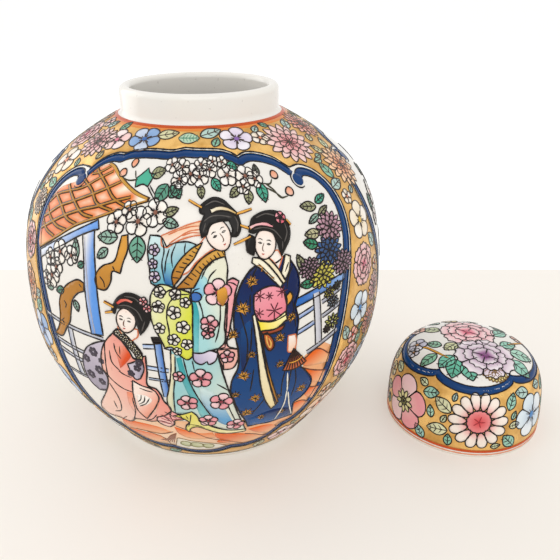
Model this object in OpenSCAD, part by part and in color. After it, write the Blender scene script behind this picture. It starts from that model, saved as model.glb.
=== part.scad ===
// Covered ginger jar in porcelain: a full-bellied jar on a low foot ring, and the cap-shaped lid
// that drops over its neck. The lid is lifted off and stands beside the jar, on the same table.
// +Z is up, and the origin is the middle of the circle on which the foot ring stands.

/* [Jar] */
// Height from the table to the top of the lip
jar_h = 176; // [140:1:230]
// Radius of the belly where it is widest
belly_r = 88.5; // [70:0.5:112]
// Height of the widest part of the belly
belly_z = 81; // [64:1:104]
// Radius where the wall rises from the foot ring
base_r = 56.5; // [55:0.5:66]
// Lean of the wall away from upright, just above the foot ring, in degrees
base_lean = 35.8; // [20:0.2:42]
// Fall of the shoulder below level, beside the neck, in degrees
shoulder_fall = 28.4; // [16:0.2:36]
// Thickness of the belly and shoulder wall
wall = 4; // [3:0.1:5.5]
// Thickness of the floor
floor_t = 5; // [4:0.1:7]
// Rounding of the corner between floor and wall, inside
floor_round = 12; // [8:0.5:16]

/* [Foot ring] */
// Outer radius of the foot ring
foot_r = 53.5; // [46:0.5:54]
// Width of the foot ring
foot_w = 5; // [4:0.1:7]
// Height of the foot ring
foot_h = 4; // [3:0.1:5.5]
// Bevel on the two edges that the jar stands on
foot_bevel = 0.8; // [0.4:0.1:1.2]

/* [Neck] */
// Outer radius of the neck, which the lid drops over
neck_r = 36.9; // [30:0.1:44]
// Height of the neck above the shoulder
neck_h = 12.3; // [10:0.1:18]
// Thickness of the neck, which its lip rounds off
neck_wall = 5.1; // [4:0.1:6.2]
// Cove between neck and shoulder
neck_cove = 2.2; // [1.2:0.1:3]

/* [Lid] */
// Clearance all round between the neck and the inside of the lid
lid_gap = 0.9; // [0.5:0.05:1.4]
// Thickness of the lid's skirt
lid_wall = 2.8; // [2.2:0.1:4]
// Height of the lid
lid_h = 44.6; // [34:0.1:54]
// Thickness of the lid's crown
crown_t = 3.2; // [2.6:0.1:4.5]
// Length of the true cylinder inside the skirt, from the rim up
socket_l = 12; // [9:0.5:16]
// Bevel on the edges of the rim
rim_bevel = 0.6; // [0.3:0.1:1]
// Space on the table between the belly and the lid, seen from above
lid_space = 10.5; // [6:0.5:40]
// Bearing of the lid from the jar, in degrees from +X
lid_bearing = -5.5; // [-60:0.1:60]

/* [Hidden] */
$fn = 128;

// How full the curves are: each handle's length as a share of the rise or run that it bends.
low_full = 0.39;
high_full = 0.62;
brow_full = 0.7;
crown_full = 0.82;
skirt_full = 0.88;

steps = 26;
shoulder_z = jar_h - neck_h;
floor_z = foot_h + floor_t;
foot_in_r = foot_r - foot_w;
mouth_r = neck_r - neck_wall;
lip_r = neck_wall / 2;
lip_z = jar_h - lip_r;
brow_r = neck_r + neck_cove * tan(45 - shoulder_fall / 2);
lid_in_r = neck_r + lid_gap;
lid_r = lid_in_r + lid_wall;
lid_reach = belly_r + lid_space + lid_r;
lid_stand = [lid_reach * cos(lid_bearing), lid_reach * sin(lid_bearing), 0];

// A point and a direction on the cubic curve with the four control points p, at t from 0 to 1.
function curve(p, t) = pow(1 - t, 3) * p[0] + 3 * pow(1 - t, 2) * t * p[1]
    + 3 * (1 - t) * t * t * p[2] + pow(t, 3) * p[3];
function slope(p, t) = pow(1 - t, 2) * (p[1] - p[0]) + 2 * (1 - t) * t * (p[2] - p[1])
    + t * t * (p[3] - p[2]);
function inward(p, t) = let (d = slope(p, t)) [-d[1], d[0]] / norm(d);
function arc(c, r, from, to, n) = [for (i = [0:n]) let (a = from + (to - from) * i / n)
    c + r * [cos(a), sin(a)]];

// The outside of the wall, foot ring to belly and belly to neck, as [radius, height].
low_rise = belly_z - foot_h;
high_rise = shoulder_z - belly_z;
low = [[base_r, foot_h],
    [base_r + low_full * low_rise * tan(base_lean), foot_h + low_full * low_rise],
    [belly_r, belly_z - low_full * low_rise], [belly_r, belly_z]];
brow_run = brow_full * (belly_r - brow_r);
high = [[belly_r, belly_z], [belly_r, belly_z + high_full * high_rise],
    [brow_r + brow_run, shoulder_z - brow_run * tan(shoulder_fall)], [brow_r, shoulder_z]];

// The inside runs one wall within it, from above the rounded corner of the floor.
low_from = 0.16;
inside_low = [for (i = [0:steps]) let (t = low_from + (1 - low_from) * i / steps)
    curve(low, t) + wall * inward(low, t)];
inside_high = [for (i = [1:steps]) let (t = i / steps) curve(high, t) + wall * inward(high, t)];
corner_dir = slope(low, low_from) / norm(slope(low, low_from));
corner_top = inside_low[0];
corner = corner_top - corner_dir * (corner_top[1] - floor_z) / corner_dir[1];
floor_edge = corner - [floor_round, 0];
throat = inside_high[steps - 1];
throat_z = throat[1] + (throat[0] - mouth_r) * tan(shoulder_fall);

function bend(a, b, c, n) = [for (i = [0:n]) let (t = i / n)
    pow(1 - t, 2) * a + 2 * (1 - t) * t * b + t * t * c];

jar_section = concat(
    [[0, foot_h], [foot_in_r, foot_h], [foot_in_r, foot_bevel], [foot_in_r + foot_bevel, 0],
        [foot_r - foot_bevel, 0], [foot_r, foot_bevel], [foot_r, foot_h - foot_bevel]],
    [for (i = [0:steps]) curve(low, i / steps)],
    [for (i = [1:steps - 1]) curve(high, i / steps)],
    bend([brow_r, shoulder_z], [neck_r, shoulder_z + (brow_r - neck_r) * tan(shoulder_fall)],
        [neck_r, shoulder_z + neck_cove], 5),
    arc([mouth_r + lip_r, lip_z], lip_r, 0, 180, 14),
    bend([mouth_r, throat_z + neck_cove], [mouth_r, throat_z], throat, 5),
    [for (i = [2:steps]) inside_high[steps - i]],
    [for (i = [0:steps]) inside_low[steps - i]],
    bend(corner_top, corner, floor_edge, 8),
    [[0, floor_z]]);

// The lid's skirt is upright at the rim and rolls over into a low crown.
function lid_curve(in, from, top) = [[lid_r - in, from], [lid_r - in, skirt_full * lid_h - in],
    [crown_full * lid_r - in, top], [0, top]];
lid_outside = lid_curve(0, rim_bevel + lid_wall, lid_h);
lid_inside = lid_curve(lid_wall, socket_l, lid_h - crown_t);
lid_section = concat(
    [[lid_in_r, rim_bevel], [lid_in_r + rim_bevel, 0], [lid_r - rim_bevel, 0], [lid_r, rim_bevel]],
    [for (i = [0:steps]) curve(lid_outside, i / steps)],
    [for (i = [0:steps]) curve(lid_inside, 1 - i / steps)]);

module jar_body() {
    color("ivory") rotate_extrude() polygon(jar_section);
}

module lid() {
    color("goldenrod") translate(lid_stand) rotate_extrude() polygon(lid_section);
}

jar_body();
lid();
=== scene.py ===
import math

import bpy
import numpy as np
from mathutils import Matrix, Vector
from mathutils.geometry import delaunay_2d_cdt


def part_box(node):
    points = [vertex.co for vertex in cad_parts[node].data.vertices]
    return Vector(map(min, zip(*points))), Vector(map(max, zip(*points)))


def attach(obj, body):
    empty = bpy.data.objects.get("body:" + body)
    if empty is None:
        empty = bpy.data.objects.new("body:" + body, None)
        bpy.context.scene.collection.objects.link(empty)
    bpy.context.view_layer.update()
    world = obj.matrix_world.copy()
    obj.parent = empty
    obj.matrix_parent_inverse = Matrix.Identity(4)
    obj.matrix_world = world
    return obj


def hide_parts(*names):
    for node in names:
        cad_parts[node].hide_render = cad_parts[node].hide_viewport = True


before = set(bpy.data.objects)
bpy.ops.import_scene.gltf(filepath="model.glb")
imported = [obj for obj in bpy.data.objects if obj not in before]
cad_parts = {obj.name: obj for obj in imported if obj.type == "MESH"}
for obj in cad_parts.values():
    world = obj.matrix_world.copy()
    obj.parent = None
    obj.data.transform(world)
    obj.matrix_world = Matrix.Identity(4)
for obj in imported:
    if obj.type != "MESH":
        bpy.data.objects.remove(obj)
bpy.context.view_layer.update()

# ---------------------------------------------------------------- The table, the light and the camera
# A pale cream table whose back edge shows behind the jar, a white ground a little below it, and one
# wide window to the left and behind, with a smaller one in front.
MM = 0.001
TABLE_BACK = 0.176
TABLE_HALF = 1.6
GROUND_DROP = 0.03


def simple_material(name, colour, roughness):
    """A material with one Principled shader, and that shader."""
    material = bpy.data.materials.new(name)
    material.use_nodes = True
    shader = material.node_tree.nodes["Principled BSDF"]
    shader.inputs["Base Color"].default_value = (*colour, 1)
    shader.inputs["Roughness"].default_value = roughness
    return material, shader


def flat_sheet(name, x, y, z, material):
    """A level rectangle over the ranges x and y at height z, in metres, which isn't part of the object."""
    mesh = bpy.data.meshes.new(name)
    corners = [(x[0], y[0], z), (x[1], y[0], z), (x[1], y[1], z), (x[0], y[1], z)]
    mesh.from_pydata(corners, [], [(0, 1, 2, 3)])
    mesh.materials.append(material)
    sheet = bpy.data.objects.new(name, mesh)
    bpy.context.scene.collection.objects.link(sheet)


cream, cream_shader = simple_material("table cream", (0.62, 0.60, 0.565), 0.55)
cream_shader.inputs["Emission Color"].default_value = (1.0, 0.925, 0.855, 1)
cream_shader.inputs["Emission Strength"].default_value = 0.29
flat_sheet("table_top", (-TABLE_HALF, TABLE_HALF), (-TABLE_HALF, TABLE_BACK), 0, cream)
white, white_shader = simple_material("ground white", (0.95, 0.95, 0.95), 0.8)
white_shader.inputs["Emission Color"].default_value = (1, 1, 1, 1)
white_shader.inputs["Emission Strength"].default_value = 0.12
flat_sheet("white_ground", (-6, 6), (-6, 9), -GROUND_DROP, white)

world = bpy.data.worlds.new("soft daylight")
world.use_nodes = True
world.node_tree.nodes["Background"].inputs["Color"].default_value = (1.0, 0.99, 0.97, 1)
world.node_tree.nodes["Background"].inputs["Strength"].default_value = 0.95
bpy.context.scene.world = world
bpy.context.scene.view_settings.view_transform = "Standard"


def window(name, place, target, size, power):
    """A square area light at place that faces target."""
    light = bpy.data.lights.new(name, "AREA")
    light.size = size
    light.energy = power
    lamp = bpy.data.objects.new(name, light)
    lamp.location = place
    lamp.rotation_euler = (Vector(target) - Vector(place)).to_track_quat("-Z", "Y").to_euler()
    bpy.context.scene.collection.objects.link(lamp)


window("window_left", (-1.0, 0.42, 0.42), (0, 0, 0.1), 1.0, 3.5)
window("window_front", (0.1, -0.9, 0.9), (0.05, 0, 0.08), 0.9, 2.3)

CAMERA_PLACE = (0.0375, -0.3085, 0.2202)
CAMERA_DIP = 25.36
CAMERA_LENS = 41.14
camera = bpy.data.objects.new("camera", bpy.data.cameras.new("camera"))
camera.data.sensor_width = 36
camera.data.lens = CAMERA_LENS
camera.data.clip_start = 0.01
camera.location = CAMERA_PLACE
camera.rotation_euler = (math.radians(90 - CAMERA_DIP), 0, 0)
bpy.context.scene.collection.objects.link(camera)
bpy.context.scene.camera = camera

# ---------------------------------------------------------------- The jar's porcelain
# One thrown and turned piece of white porcelain under a clear glaze: foot ring, belly, shoulder,
# neck and lip. The glaze is wiped off the ring that it was fired on.
JAR_H = 176.0
BELLY_R, BELLY_Z = 88.5, 81.0
BASE_R, BASE_LEAN, SHOULDER_FALL = 56.5, 35.8, 28.4
WALL, FLOOR_Z, FLOOR_ROUND = 4.0, 9.0, 12.0
FOOT_R, FOOT_W, FOOT_H, FOOT_BEVEL = 53.5, 5.0, 4.0, 0.8
NECK_R, NECK_H, NECK_WALL, NECK_COVE = 36.9, 12.3, 5.1, 2.2
LOW_FULL, HIGH_FULL, BROW_FULL = 0.39, 0.62, 0.7


def cubic(controls, t):
    """Points of the cubic with four control points: (1-t)^3 a + 3(1-t)^2 t b + 3(1-t) t^2 c + t^3 d."""
    a, b, c, d = np.asarray(controls, float)
    t = np.asarray(t)[:, None]
    return (1 - t) ** 3 * a + 3 * (1 - t) ** 2 * t * b + 3 * (1 - t) * t * t * c + t ** 3 * d


def left_of(points):
    """Unit vectors a quarter turn to the left of a curve's direction at each of its points."""
    run = np.gradient(points, axis=0)
    return np.c_[-run[:, 1], run[:, 0]] / np.linalg.norm(run, axis=1)[:, None]


def arc(centre, radius, start, end, count):
    """Points on a circular arc, its angles in degrees: centre + radius (cos a, sin a)."""
    a = np.radians(np.linspace(start, end, count))
    return np.asarray(centre) + radius * np.c_[np.cos(a), np.sin(a)]


def bend(a, b, c, count):
    """A quadratic curve from a to c that leaves and arrives along the lines to b."""
    t = np.linspace(0, 1, count)[:, None]
    return (1 - t) ** 2 * np.array(a) + 2 * (1 - t) * t * np.array(b) + t * t * np.array(c)


brow_r = NECK_R + NECK_COVE * math.tan(math.radians(45 - SHOULDER_FALL / 2))
shoulder_z = JAR_H - NECK_H
rise_low = LOW_FULL * (BELLY_Z - FOOT_H)
rise_high = HIGH_FULL * (shoulder_z - BELLY_Z)
brow_run = BROW_FULL * (BELLY_R - brow_r)
lean = math.tan(math.radians(BASE_LEAN))
fall = math.tan(math.radians(SHOULDER_FALL))
low = cubic([(BASE_R, FOOT_H), (BASE_R + rise_low * lean, FOOT_H + rise_low),
             (BELLY_R, BELLY_Z - rise_low), (BELLY_R, BELLY_Z)], np.linspace(0, 1, 60))
high = cubic([(BELLY_R, BELLY_Z), (BELLY_R, BELLY_Z + rise_high),
              (brow_r + brow_run, shoulder_z - brow_run * fall), (brow_r, shoulder_z)],
             np.linspace(0, 1, 80))
side = np.vstack([low, high[1:]])
inside = (side + WALL * left_of(side))[::-1]
inside = inside[(inside[:, 1] > FLOOR_Z + FLOOR_ROUND * 0.6)][1:]
mouth_r = NECK_R - NECK_WALL
throat_z = inside[0, 1] + (inside[0, 0] - mouth_r) * fall
jar_profile = np.vstack([[(0, FOOT_H), (FOOT_R - FOOT_W - 1, FOOT_H), (FOOT_R - FOOT_W, FOOT_H - 1),
                          (FOOT_R - FOOT_W, FOOT_BEVEL)],
                         arc((FOOT_R - FOOT_W + FOOT_BEVEL, FOOT_BEVEL), FOOT_BEVEL, 180, 270, 5),
                         arc((FOOT_R - FOOT_BEVEL, FOOT_BEVEL), FOOT_BEVEL, 270, 360, 5),
                         [(FOOT_R, FOOT_H - FOOT_BEVEL)], side[:-1],
                         bend((brow_r, shoulder_z), (NECK_R, shoulder_z + (brow_r - NECK_R) * fall),
                              (NECK_R, shoulder_z + NECK_COVE), 7),
                         arc((mouth_r + NECK_WALL / 2, JAR_H - NECK_WALL / 2), NECK_WALL / 2, 0, 180, 21),
                         bend((mouth_r, throat_z + NECK_COVE), (mouth_r, throat_z), inside[0], 7),
                         inside[1:], bend(inside[-1], (inside[-1, 0] - 5, FLOOR_Z),
                         (inside[-1, 0] - 5 - FLOOR_ROUND, FLOOR_Z), 9)[1:], [(0, FLOOR_Z)]])


def new_piece(name, verts_mm, faces, material, body, smooth=None):
    """A mesh object at the origin from points in millimetres, riding on a body with a finish slot."""
    mesh = bpy.data.meshes.new(name)
    mesh.from_pydata((np.asarray(verts_mm) * MM).tolist(), [], faces)
    mesh.polygons.foreach_set("use_smooth", np.ones(len(faces), bool) if smooth is None else smooth)
    mesh.materials.append(material)
    mesh.update()
    piece = bpy.data.objects.new(name, mesh)
    bpy.context.scene.collection.objects.link(piece)
    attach(piece, body)
    return piece


def turned(profile, axis=(0, 0), turns=256):
    """Points and faces of a profile of (radius, height) turned about an upright axis, both its ends
    on that axis: (x, y, z) = (cx + r cos a, cy + r sin a, h)."""
    a = np.linspace(0, 2 * np.pi, turns, endpoint=False)
    r, h = profile[1:-1, 0], profile[1:-1, 1]
    rings = np.stack([axis[0] + np.outer(r, np.cos(a)), axis[1] + np.outer(r, np.sin(a)),
                      np.repeat(h[:, None], turns, 1)], -1).reshape(-1, 3)
    verts = np.vstack([rings, [(*axis, profile[0, 1])], [(*axis, profile[-1, 1])]])
    i, j = np.meshgrid(np.arange(len(r) - 1), np.arange(turns), indexing="ij")
    k = (j + 1) % turns
    quads = np.stack([i * turns + j, i * turns + k, (i + 1) * turns + k, (i + 1) * turns + j], -1)
    last = (len(r) - 1) * turns
    j = np.arange(turns)
    k = (j + 1) % turns
    start = np.stack([np.full(turns, len(rings)), k, j], -1)
    end = np.stack([np.full(turns, len(rings) + 1), last + j, last + k], -1)
    return verts, quads.reshape(-1, 4).tolist() + start.tolist() + end.tolist()


def node_group(name, inputs, outputs):
    """An empty shader group with named sockets, given as (name, kind, default)."""
    group = bpy.data.node_groups.new(name, "ShaderNodeTree")
    for label, kind, default in inputs:
        socket = group.interface.new_socket(label, in_out="INPUT", socket_type=kind)
        socket.default_value = default
    for label, kind in outputs:
        group.interface.new_socket(label, in_out="OUTPUT", socket_type=kind)
    return group, group.nodes.new("NodeGroupInput"), group.nodes.new("NodeGroupOutput")


def ranged(tree, value, low_out, high_out, low_in=0.3, high_in=0.7):
    """What a Map Range node makes of value: carried from one range to another, and clamped."""
    node = tree.nodes.new("ShaderNodeMapRange")
    tree.links.new(value, node.inputs["Value"])
    for label, number in (("From Min", low_in), ("From Max", high_in), ("To Min", low_out),
                          ("To Max", high_out)):
        node.inputs[label].default_value = number
    return node.outputs["Result"]


def maths(tree, operation, a, b):
    """What a Math node makes of two sockets."""
    node = tree.nodes.new("ShaderNodeMath")
    node.operation = operation
    tree.links.new(a, node.inputs[0])
    tree.links.new(b, node.inputs[1])
    return node.outputs[0]


def noise(tree, vector, scale, detail=3.0, roughness=0.5):
    """A noise texture on a vector, in features per metre."""
    node = tree.nodes.new("ShaderNodeTexNoise")
    tree.links.new(vector, node.inputs["Vector"])
    node.inputs["Scale"].default_value = scale
    node.inputs["Detail"].default_value = detail
    node.inputs["Roughness"].default_value = roughness
    return node


def mixed(tree, factor, a, b, mode="MIX"):
    """A colour Mix node; factor, a and b are sockets, and factor or b may be a plain value."""
    node = tree.nodes.new("ShaderNodeMix")
    node.data_type = "RGBA"
    node.blend_type = mode
    for socket, value in ((node.inputs["Factor"], factor), (node.inputs["A"], a), (node.inputs["B"], b)):
        if isinstance(value, bpy.types.NodeSocket):
            tree.links.new(value, socket)
        else:
            socket.default_value = value
    return node.outputs["Result"]


# Fired glaze: soft clouds of tint, a scatter of iron specks, a faint orange-peel ripple.
skin, skin_in, skin_out = node_group(
    "fired glaze",
    [("Colour", "NodeSocketColor", (1, 1, 1, 1)),
     ("Cloud Colour", "NodeSocketColor", (1, 1, 1, 1)),
     ("Cloud Amount", "NodeSocketFloat", 0.3),
     ("Specks", "NodeSocketFloat", 0.5),
     ("Roughness", "NodeSocketFloat", 0.12),
     ("Ripple", "NodeSocketFloat", 0.5),
     ("Bare Below", "NodeSocketFloat", -1.0)],
    [("Colour", "NodeSocketColor"), ("Roughness", "NodeSocketFloat"), ("Height", "NodeSocketFloat")])
where = skin.nodes.new("ShaderNodeTexCoord").outputs["Object"]
cloud = noise(skin, where, 38.0, 4.0, 0.55)
cloud_mask = ranged(skin, cloud.outputs["Fac"], 0.0, 1.0, 0.35, 0.68)
amount = maths(skin, "MULTIPLY", cloud_mask, skin_in.outputs["Cloud Amount"])
clouded = mixed(skin, amount, skin_in.outputs["Colour"], skin_in.outputs["Cloud Colour"])
speck = noise(skin, where, 620.0, 1.0, 0.4)
speck_mask = ranged(skin, speck.outputs["Fac"], 0.0, 1.0, 0.735, 0.775)
speck_amount = maths(skin, "MULTIPLY", speck_mask, skin_in.outputs["Specks"])
height_z = skin.nodes.new("ShaderNodeSeparateXYZ")
skin.links.new(where, height_z.inputs[0])
bare = maths(skin, "LESS_THAN", height_z.outputs["Z"], skin_in.outputs["Bare Below"])
specked = mixed(skin, speck_amount, clouded, (0.16, 0.10, 0.06, 1))
skin.links.new(mixed(skin, bare, specked, (0.72, 0.66, 0.56, 1)), skin_out.inputs["Colour"])
peel = noise(skin, where, 260.0, 2.0, 0.5)
fine = ranged(skin, peel.outputs["Fac"], 0.75, 1.5)
rough = maths(skin, "MULTIPLY", fine, skin_in.outputs["Roughness"])
biscuit = maths(skin, "MAXIMUM", rough, ranged(skin, bare, 0.0, 0.75, 0.0, 1.0))
skin.links.new(biscuit, skin_out.inputs["Roughness"])
height = maths(skin, "MULTIPLY", peel.outputs["Fac"], skin_in.outputs["Ripple"])
skin.links.new(height, skin_out.inputs["Height"])
RIPPLE_DEPTH = 0.00004


def coated(tree, shader, group, values, depth):
    """Puts a finish group with its own values in a material: its colour and roughness go to the
    shader, and its height to a bump of a given depth in metres."""
    coat = tree.nodes.new("ShaderNodeGroup")
    coat.node_tree = group
    for label, value in values:
        coat.inputs[label].default_value = value
    bump = tree.nodes.new("ShaderNodeBump")
    bump.inputs["Distance"].default_value = depth
    bump.inputs["Strength"].default_value = 1.0
    tree.links.new(coat.outputs["Height"], bump.inputs["Height"])
    tree.links.new(coat.outputs["Colour"], shader.inputs["Base Color"])
    tree.links.new(coat.outputs["Roughness"], shader.inputs["Roughness"])
    tree.links.new(bump.outputs["Normal"], shader.inputs["Normal"])
    return coat


def glazed(name, colour, cloud_colour, cloud_amount, specks, roughness, ripple, paint=None, bare=-1.0):
    """A material whose colour, roughness and bump come from the fired glaze group. paint names a
    colour attribute that takes the place of colour, and the clay is bare below the height bare."""
    material, shader = simple_material(name, colour, roughness)
    tree = material.node_tree
    values = (("Colour", (*colour, 1)), ("Cloud Colour", (*cloud_colour, 1)),
              ("Cloud Amount", cloud_amount), ("Specks", specks), ("Roughness", roughness),
              ("Ripple", ripple), ("Bare Below", bare))
    coat = coated(tree, shader, skin, values, RIPPLE_DEPTH)
    if paint:
        attribute = tree.nodes.new("ShaderNodeAttribute")
        attribute.attribute_name = paint
        tree.links.new(attribute.outputs["Color"], coat.inputs["Colour"])
        shade = mixed(tree, 1.0, attribute.outputs["Color"], (*cloud_colour, 1), "MULTIPLY")
        tree.links.new(shade, coat.inputs["Cloud Colour"])
    return material, shader


BARE_RING = 0.0007
porcelain, porcelain_shader = glazed("glazed porcelain", (0.83, 0.80, 0.75), (0.78, 0.77, 0.74), 0.5, 0.16,
        0.10, 0.6, bare=BARE_RING)
porcelain_shader.inputs["Specular IOR Level"].default_value = 0.6

verts, faces = turned(jar_profile)
jar = new_piece("porcelain_jar", verts, faces, porcelain, "jar")
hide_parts("jar_body")

# ---------------------------------------------------------------- The lid's porcelain
# A cap-shaped lid of the same porcelain, with an upright skirt and a low crown, standing on the
# table beside the jar. It is glazed inside and out, and its rim is bare.
NECK_GAP, SKIRT_T, LID_H, CROWN_T, SOCKET_L, RIM_BEVEL = 0.9, 2.8, 44.6, 3.2, 12.0, 0.6
CROWN_FULL, SKIRT_FULL = 0.82, 0.88
lid_low, lid_high = (np.array(corner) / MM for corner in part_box("lid"))
lid_axis = ((lid_low[:2] + lid_high[:2]) / 2).tolist()
lid_in_r = NECK_R + NECK_GAP
lid_r = lid_in_r + SKIRT_T


def cap_curve(inset, start, top, count):
    """The skirt and crown of the lid as one cubic, upright at the rim and level at the middle."""
    return cubic([(lid_r - inset, start), (lid_r - inset, SKIRT_FULL * LID_H - inset),
                  (CROWN_FULL * lid_r - inset, top), (0, top)], np.linspace(0, 1, count))


lid_outside = cap_curve(0, RIM_BEVEL + SKIRT_T, LID_H, 70)
lid_inside = cap_curve(SKIRT_T, SOCKET_L, LID_H - CROWN_T, 40)[::-1]
lid_profile = np.vstack([
    lid_inside,
    arc((lid_in_r + RIM_BEVEL, RIM_BEVEL), RIM_BEVEL, 180, 270, 5),
    arc((lid_r - RIM_BEVEL, RIM_BEVEL), RIM_BEVEL, 270, 360, 5),
    lid_outside])
verts, faces = turned(lid_profile, lid_axis, 192)
lid = new_piece("porcelain_lid", verts, faces, porcelain, "lid")
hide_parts("lid")

# ---------------------------------------------------------------- The blue frames round the panels
# Each of the three panels has a lobed frame with a scroll hook at each shoulder, painted in cobalt
# on the raw clay and sealed under the glaze, with a fine black line along both sides.
LAYER = 0.05
SUNK = -0.04
INK_WIDTH = 0.5
FINE_WIDTH = 0.8
WIDEST_SWELL = 1.2
SPREAD = 0.24
PANEL_PITCH = 120
SIDE_PANEL_SHRINK = 0.95
side_run = np.r_[0, np.cumsum(np.linalg.norm(np.diff(side, axis=0), axis=1))]
side_run -= side_run[len(low) - 1]
side_out = -left_of(side)


def on_jar(uv, out):
    """Points on the outside of the jar. u is millimetres round the belly from the front and v is
    millimetres up the wall from the belly: the angle is u / belly radius, and the wall's radius
    and height at v are moved out along its normal."""
    r = np.interp(uv[:, 1], side_run, side[:, 0]) + out * np.interp(uv[:, 1], side_run, side_out[:, 0])
    z = np.interp(uv[:, 1], side_run, side[:, 1]) + out * np.interp(uv[:, 1], side_run, side_out[:, 1])
    a = uv[:, 0] / BELLY_R - np.pi / 2
    return np.c_[r * np.cos(a), r * np.sin(a), z]


def rgb(code):
    """A colour from a six-digit code, made linear: c / 12.92 where dark, else ((c + 0.055) / 1.055)^2.4."""
    c = np.array([int(code[i:i + 2], 16) for i in (0, 2, 4)]) / 255
    return np.where(c <= 0.04045, c / 12.92, ((c + 0.055) / 1.055) ** 2.4)


def bow(points, step=0.8, closed=False):
    """A smooth curve through points: a cubic for each span, whose end directions are the mean of the
    spans beside them, the shorter span counting for more."""
    p = np.asarray(points, float)
    if len(p) == 2 and not closed:
        count = max(2, int(np.linalg.norm(p[1] - p[0]) / step) + 1)
        return p[0] + np.linspace(0, 1, count)[:, None] * (p[1] - p[0])
    p = np.vstack([p[-1], p, p[:2]]) if closed else np.vstack([2 * p[0] - p[1], p, 2 * p[-1] - p[-2]])
    chord = np.diff(p, axis=0)
    d = np.maximum(np.linalg.norm(chord, axis=1), 1e-6)[:, None]
    lead = (chord[:-1] / d[:-1] * d[1:] + chord[1:] / d[1:] * d[:-1]) / (d[:-1] + d[1:])
    spans = []
    for i in range(len(lead) - 1):
        t = np.arange(0, 1, 1 / max(2, round(float(d[i + 1, 0]) / step)))[:, None]
        spans.append((2 * t ** 3 - 3 * t * t + 1) * p[i + 1] + (t ** 3 - 2 * t * t + t) * lead[i] * d[i + 1]
                     + (3 * t * t - 2 * t ** 3) * p[i + 2] + (t ** 3 - t * t) * lead[i + 1] * d[i + 1])
    return np.vstack(spans if closed else spans + [p[-2:-1]])


def drawn(text, closed=True, step=0.8):
    """An outline from 'x,y x,y ...' in millimetres: smooth, except at points marked with !."""
    marks = text.split()
    points = [tuple(float(n) for n in mark.rstrip("!").split(",")) for mark in marks]
    corners = [i for i, mark in enumerate(marks) if mark.endswith("!")]
    if closed and not corners:
        return bow(points, step, True)
    if closed:
        first = corners[0]
        points = points[first:] + points[:first + 1]
        corners = [i - first for i in corners] + [len(points) - 1]
    else:
        corners = sorted({0, *corners, len(points) - 1})
    runs = [bow(points[a:b + 1], step)[:-1] for a, b in zip(corners, corners[1:])]
    return np.vstack(runs if closed else runs + [points[-1:]])


def straight_sided(corners, step):
    """A closed outline of straight sides from corner to corner, with points about one step apart."""
    return np.vstack([bow([a, b], step)[:-1] for a, b in zip(corners, corners[1:] + corners[:1])])


def seated(points, x, y, turn=0.0):
    """Points turned anticlockwise by turn degrees and moved to x, y."""
    c, s = math.cos(math.radians(turn)), math.sin(math.radians(turn))
    return np.asarray(points) @ np.array([[c, s], [-s, c]]) + (x, y)


def within(points, loops):
    """Even-odd test of points against closed loops: an odd number of edges lies to the right."""
    x, y = points[:, 0][:, None], points[:, 1][:, None]
    odd = np.zeros(len(points), bool)
    for loop in loops:
        (x0, y0), (x1, y1) = loop.T, np.roll(loop, -1, 0).T
        rise = np.where(np.abs(y1 - y0) < 1e-9, 1e-9, y1 - y0)
        crossing = ((y0 > y) != (y1 > y)) & (x < (x1 - x0) * (y - y0) / rise + x0)
        odd ^= crossing.sum(1) % 2 == 1
    return odd


def mesh_inside(loops, grain):
    """Triangles that fill closed loops, all turned the same way round. Points one grain apart, in
    rows 0.87 of a grain apart, stand inside the loops wherever they keep 0.45 of a grain away."""
    edge = np.vstack(loops)
    lo, hi = edge.min(0), edge.max(0)
    gx, gy = np.meshgrid(np.arange(lo[0], hi[0], grain), np.arange(lo[1], hi[1], grain * 0.87))
    gx = gx + np.where(np.arange(len(gx)) % 2, grain / 2, 0)[:, None]
    grid = np.c_[gx.ravel(), gy.ravel()]
    grid = grid[within(grid, loops)]
    if len(grid):
        gap = np.array([np.min(np.sum((edge - g) ** 2, 1)) for g in grid])
        grid = grid[gap > (0.45 * grain) ** 2]
    starts = np.r_[0, np.cumsum([len(loop) for loop in loops])]
    rails = [(a + i, a + (i + 1) % (b - a)) for a, b in zip(starts, starts[1:]) for i in range(b - a)]
    points, _, faces, *_ = delaunay_2d_cdt([Vector(p) for p in np.vstack([edge, grid])], rails, [], 0, 1e-5)
    points, faces = np.array([tuple(p) for p in points]), np.array(faces)
    a, b, c = points[faces[:, 0]], points[faces[:, 1]], points[faces[:, 2]]
    area = (b[:, 0] - a[:, 0]) * (c[:, 1] - a[:, 1]) - (b[:, 1] - a[:, 1]) * (c[:, 0] - a[:, 0])
    faces = np.where((area < 0)[:, None], faces[:, ::-1], faces)
    faces = faces[within((a + b + c) / 3, loops) & (np.abs(area) > 1e-7)]
    used, faces = np.unique(faces, return_inverse=True)
    return points[used], faces.reshape(-1, 3)


def wash(first, last, start, end):
    """A colour that changes evenly from first at the point start to last at the point end."""
    start, run = np.array(start, float), np.subtract(end, start)
    return lambda uv: first + np.clip((uv - start) @ run / (run @ run), 0, 1)[:, None] * (last - first)


def bloom(middle, rim, centre, radius, core=0.15):
    """A colour that changes from middle to rim with the distance from centre, over a radius."""
    def colour(uv):
        share = np.clip((np.linalg.norm(uv - np.array(centre), axis=1) / radius - core) / (1 - core), 0, 1)
        return middle + share[:, None] * (rim - middle)
    return colour


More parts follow.
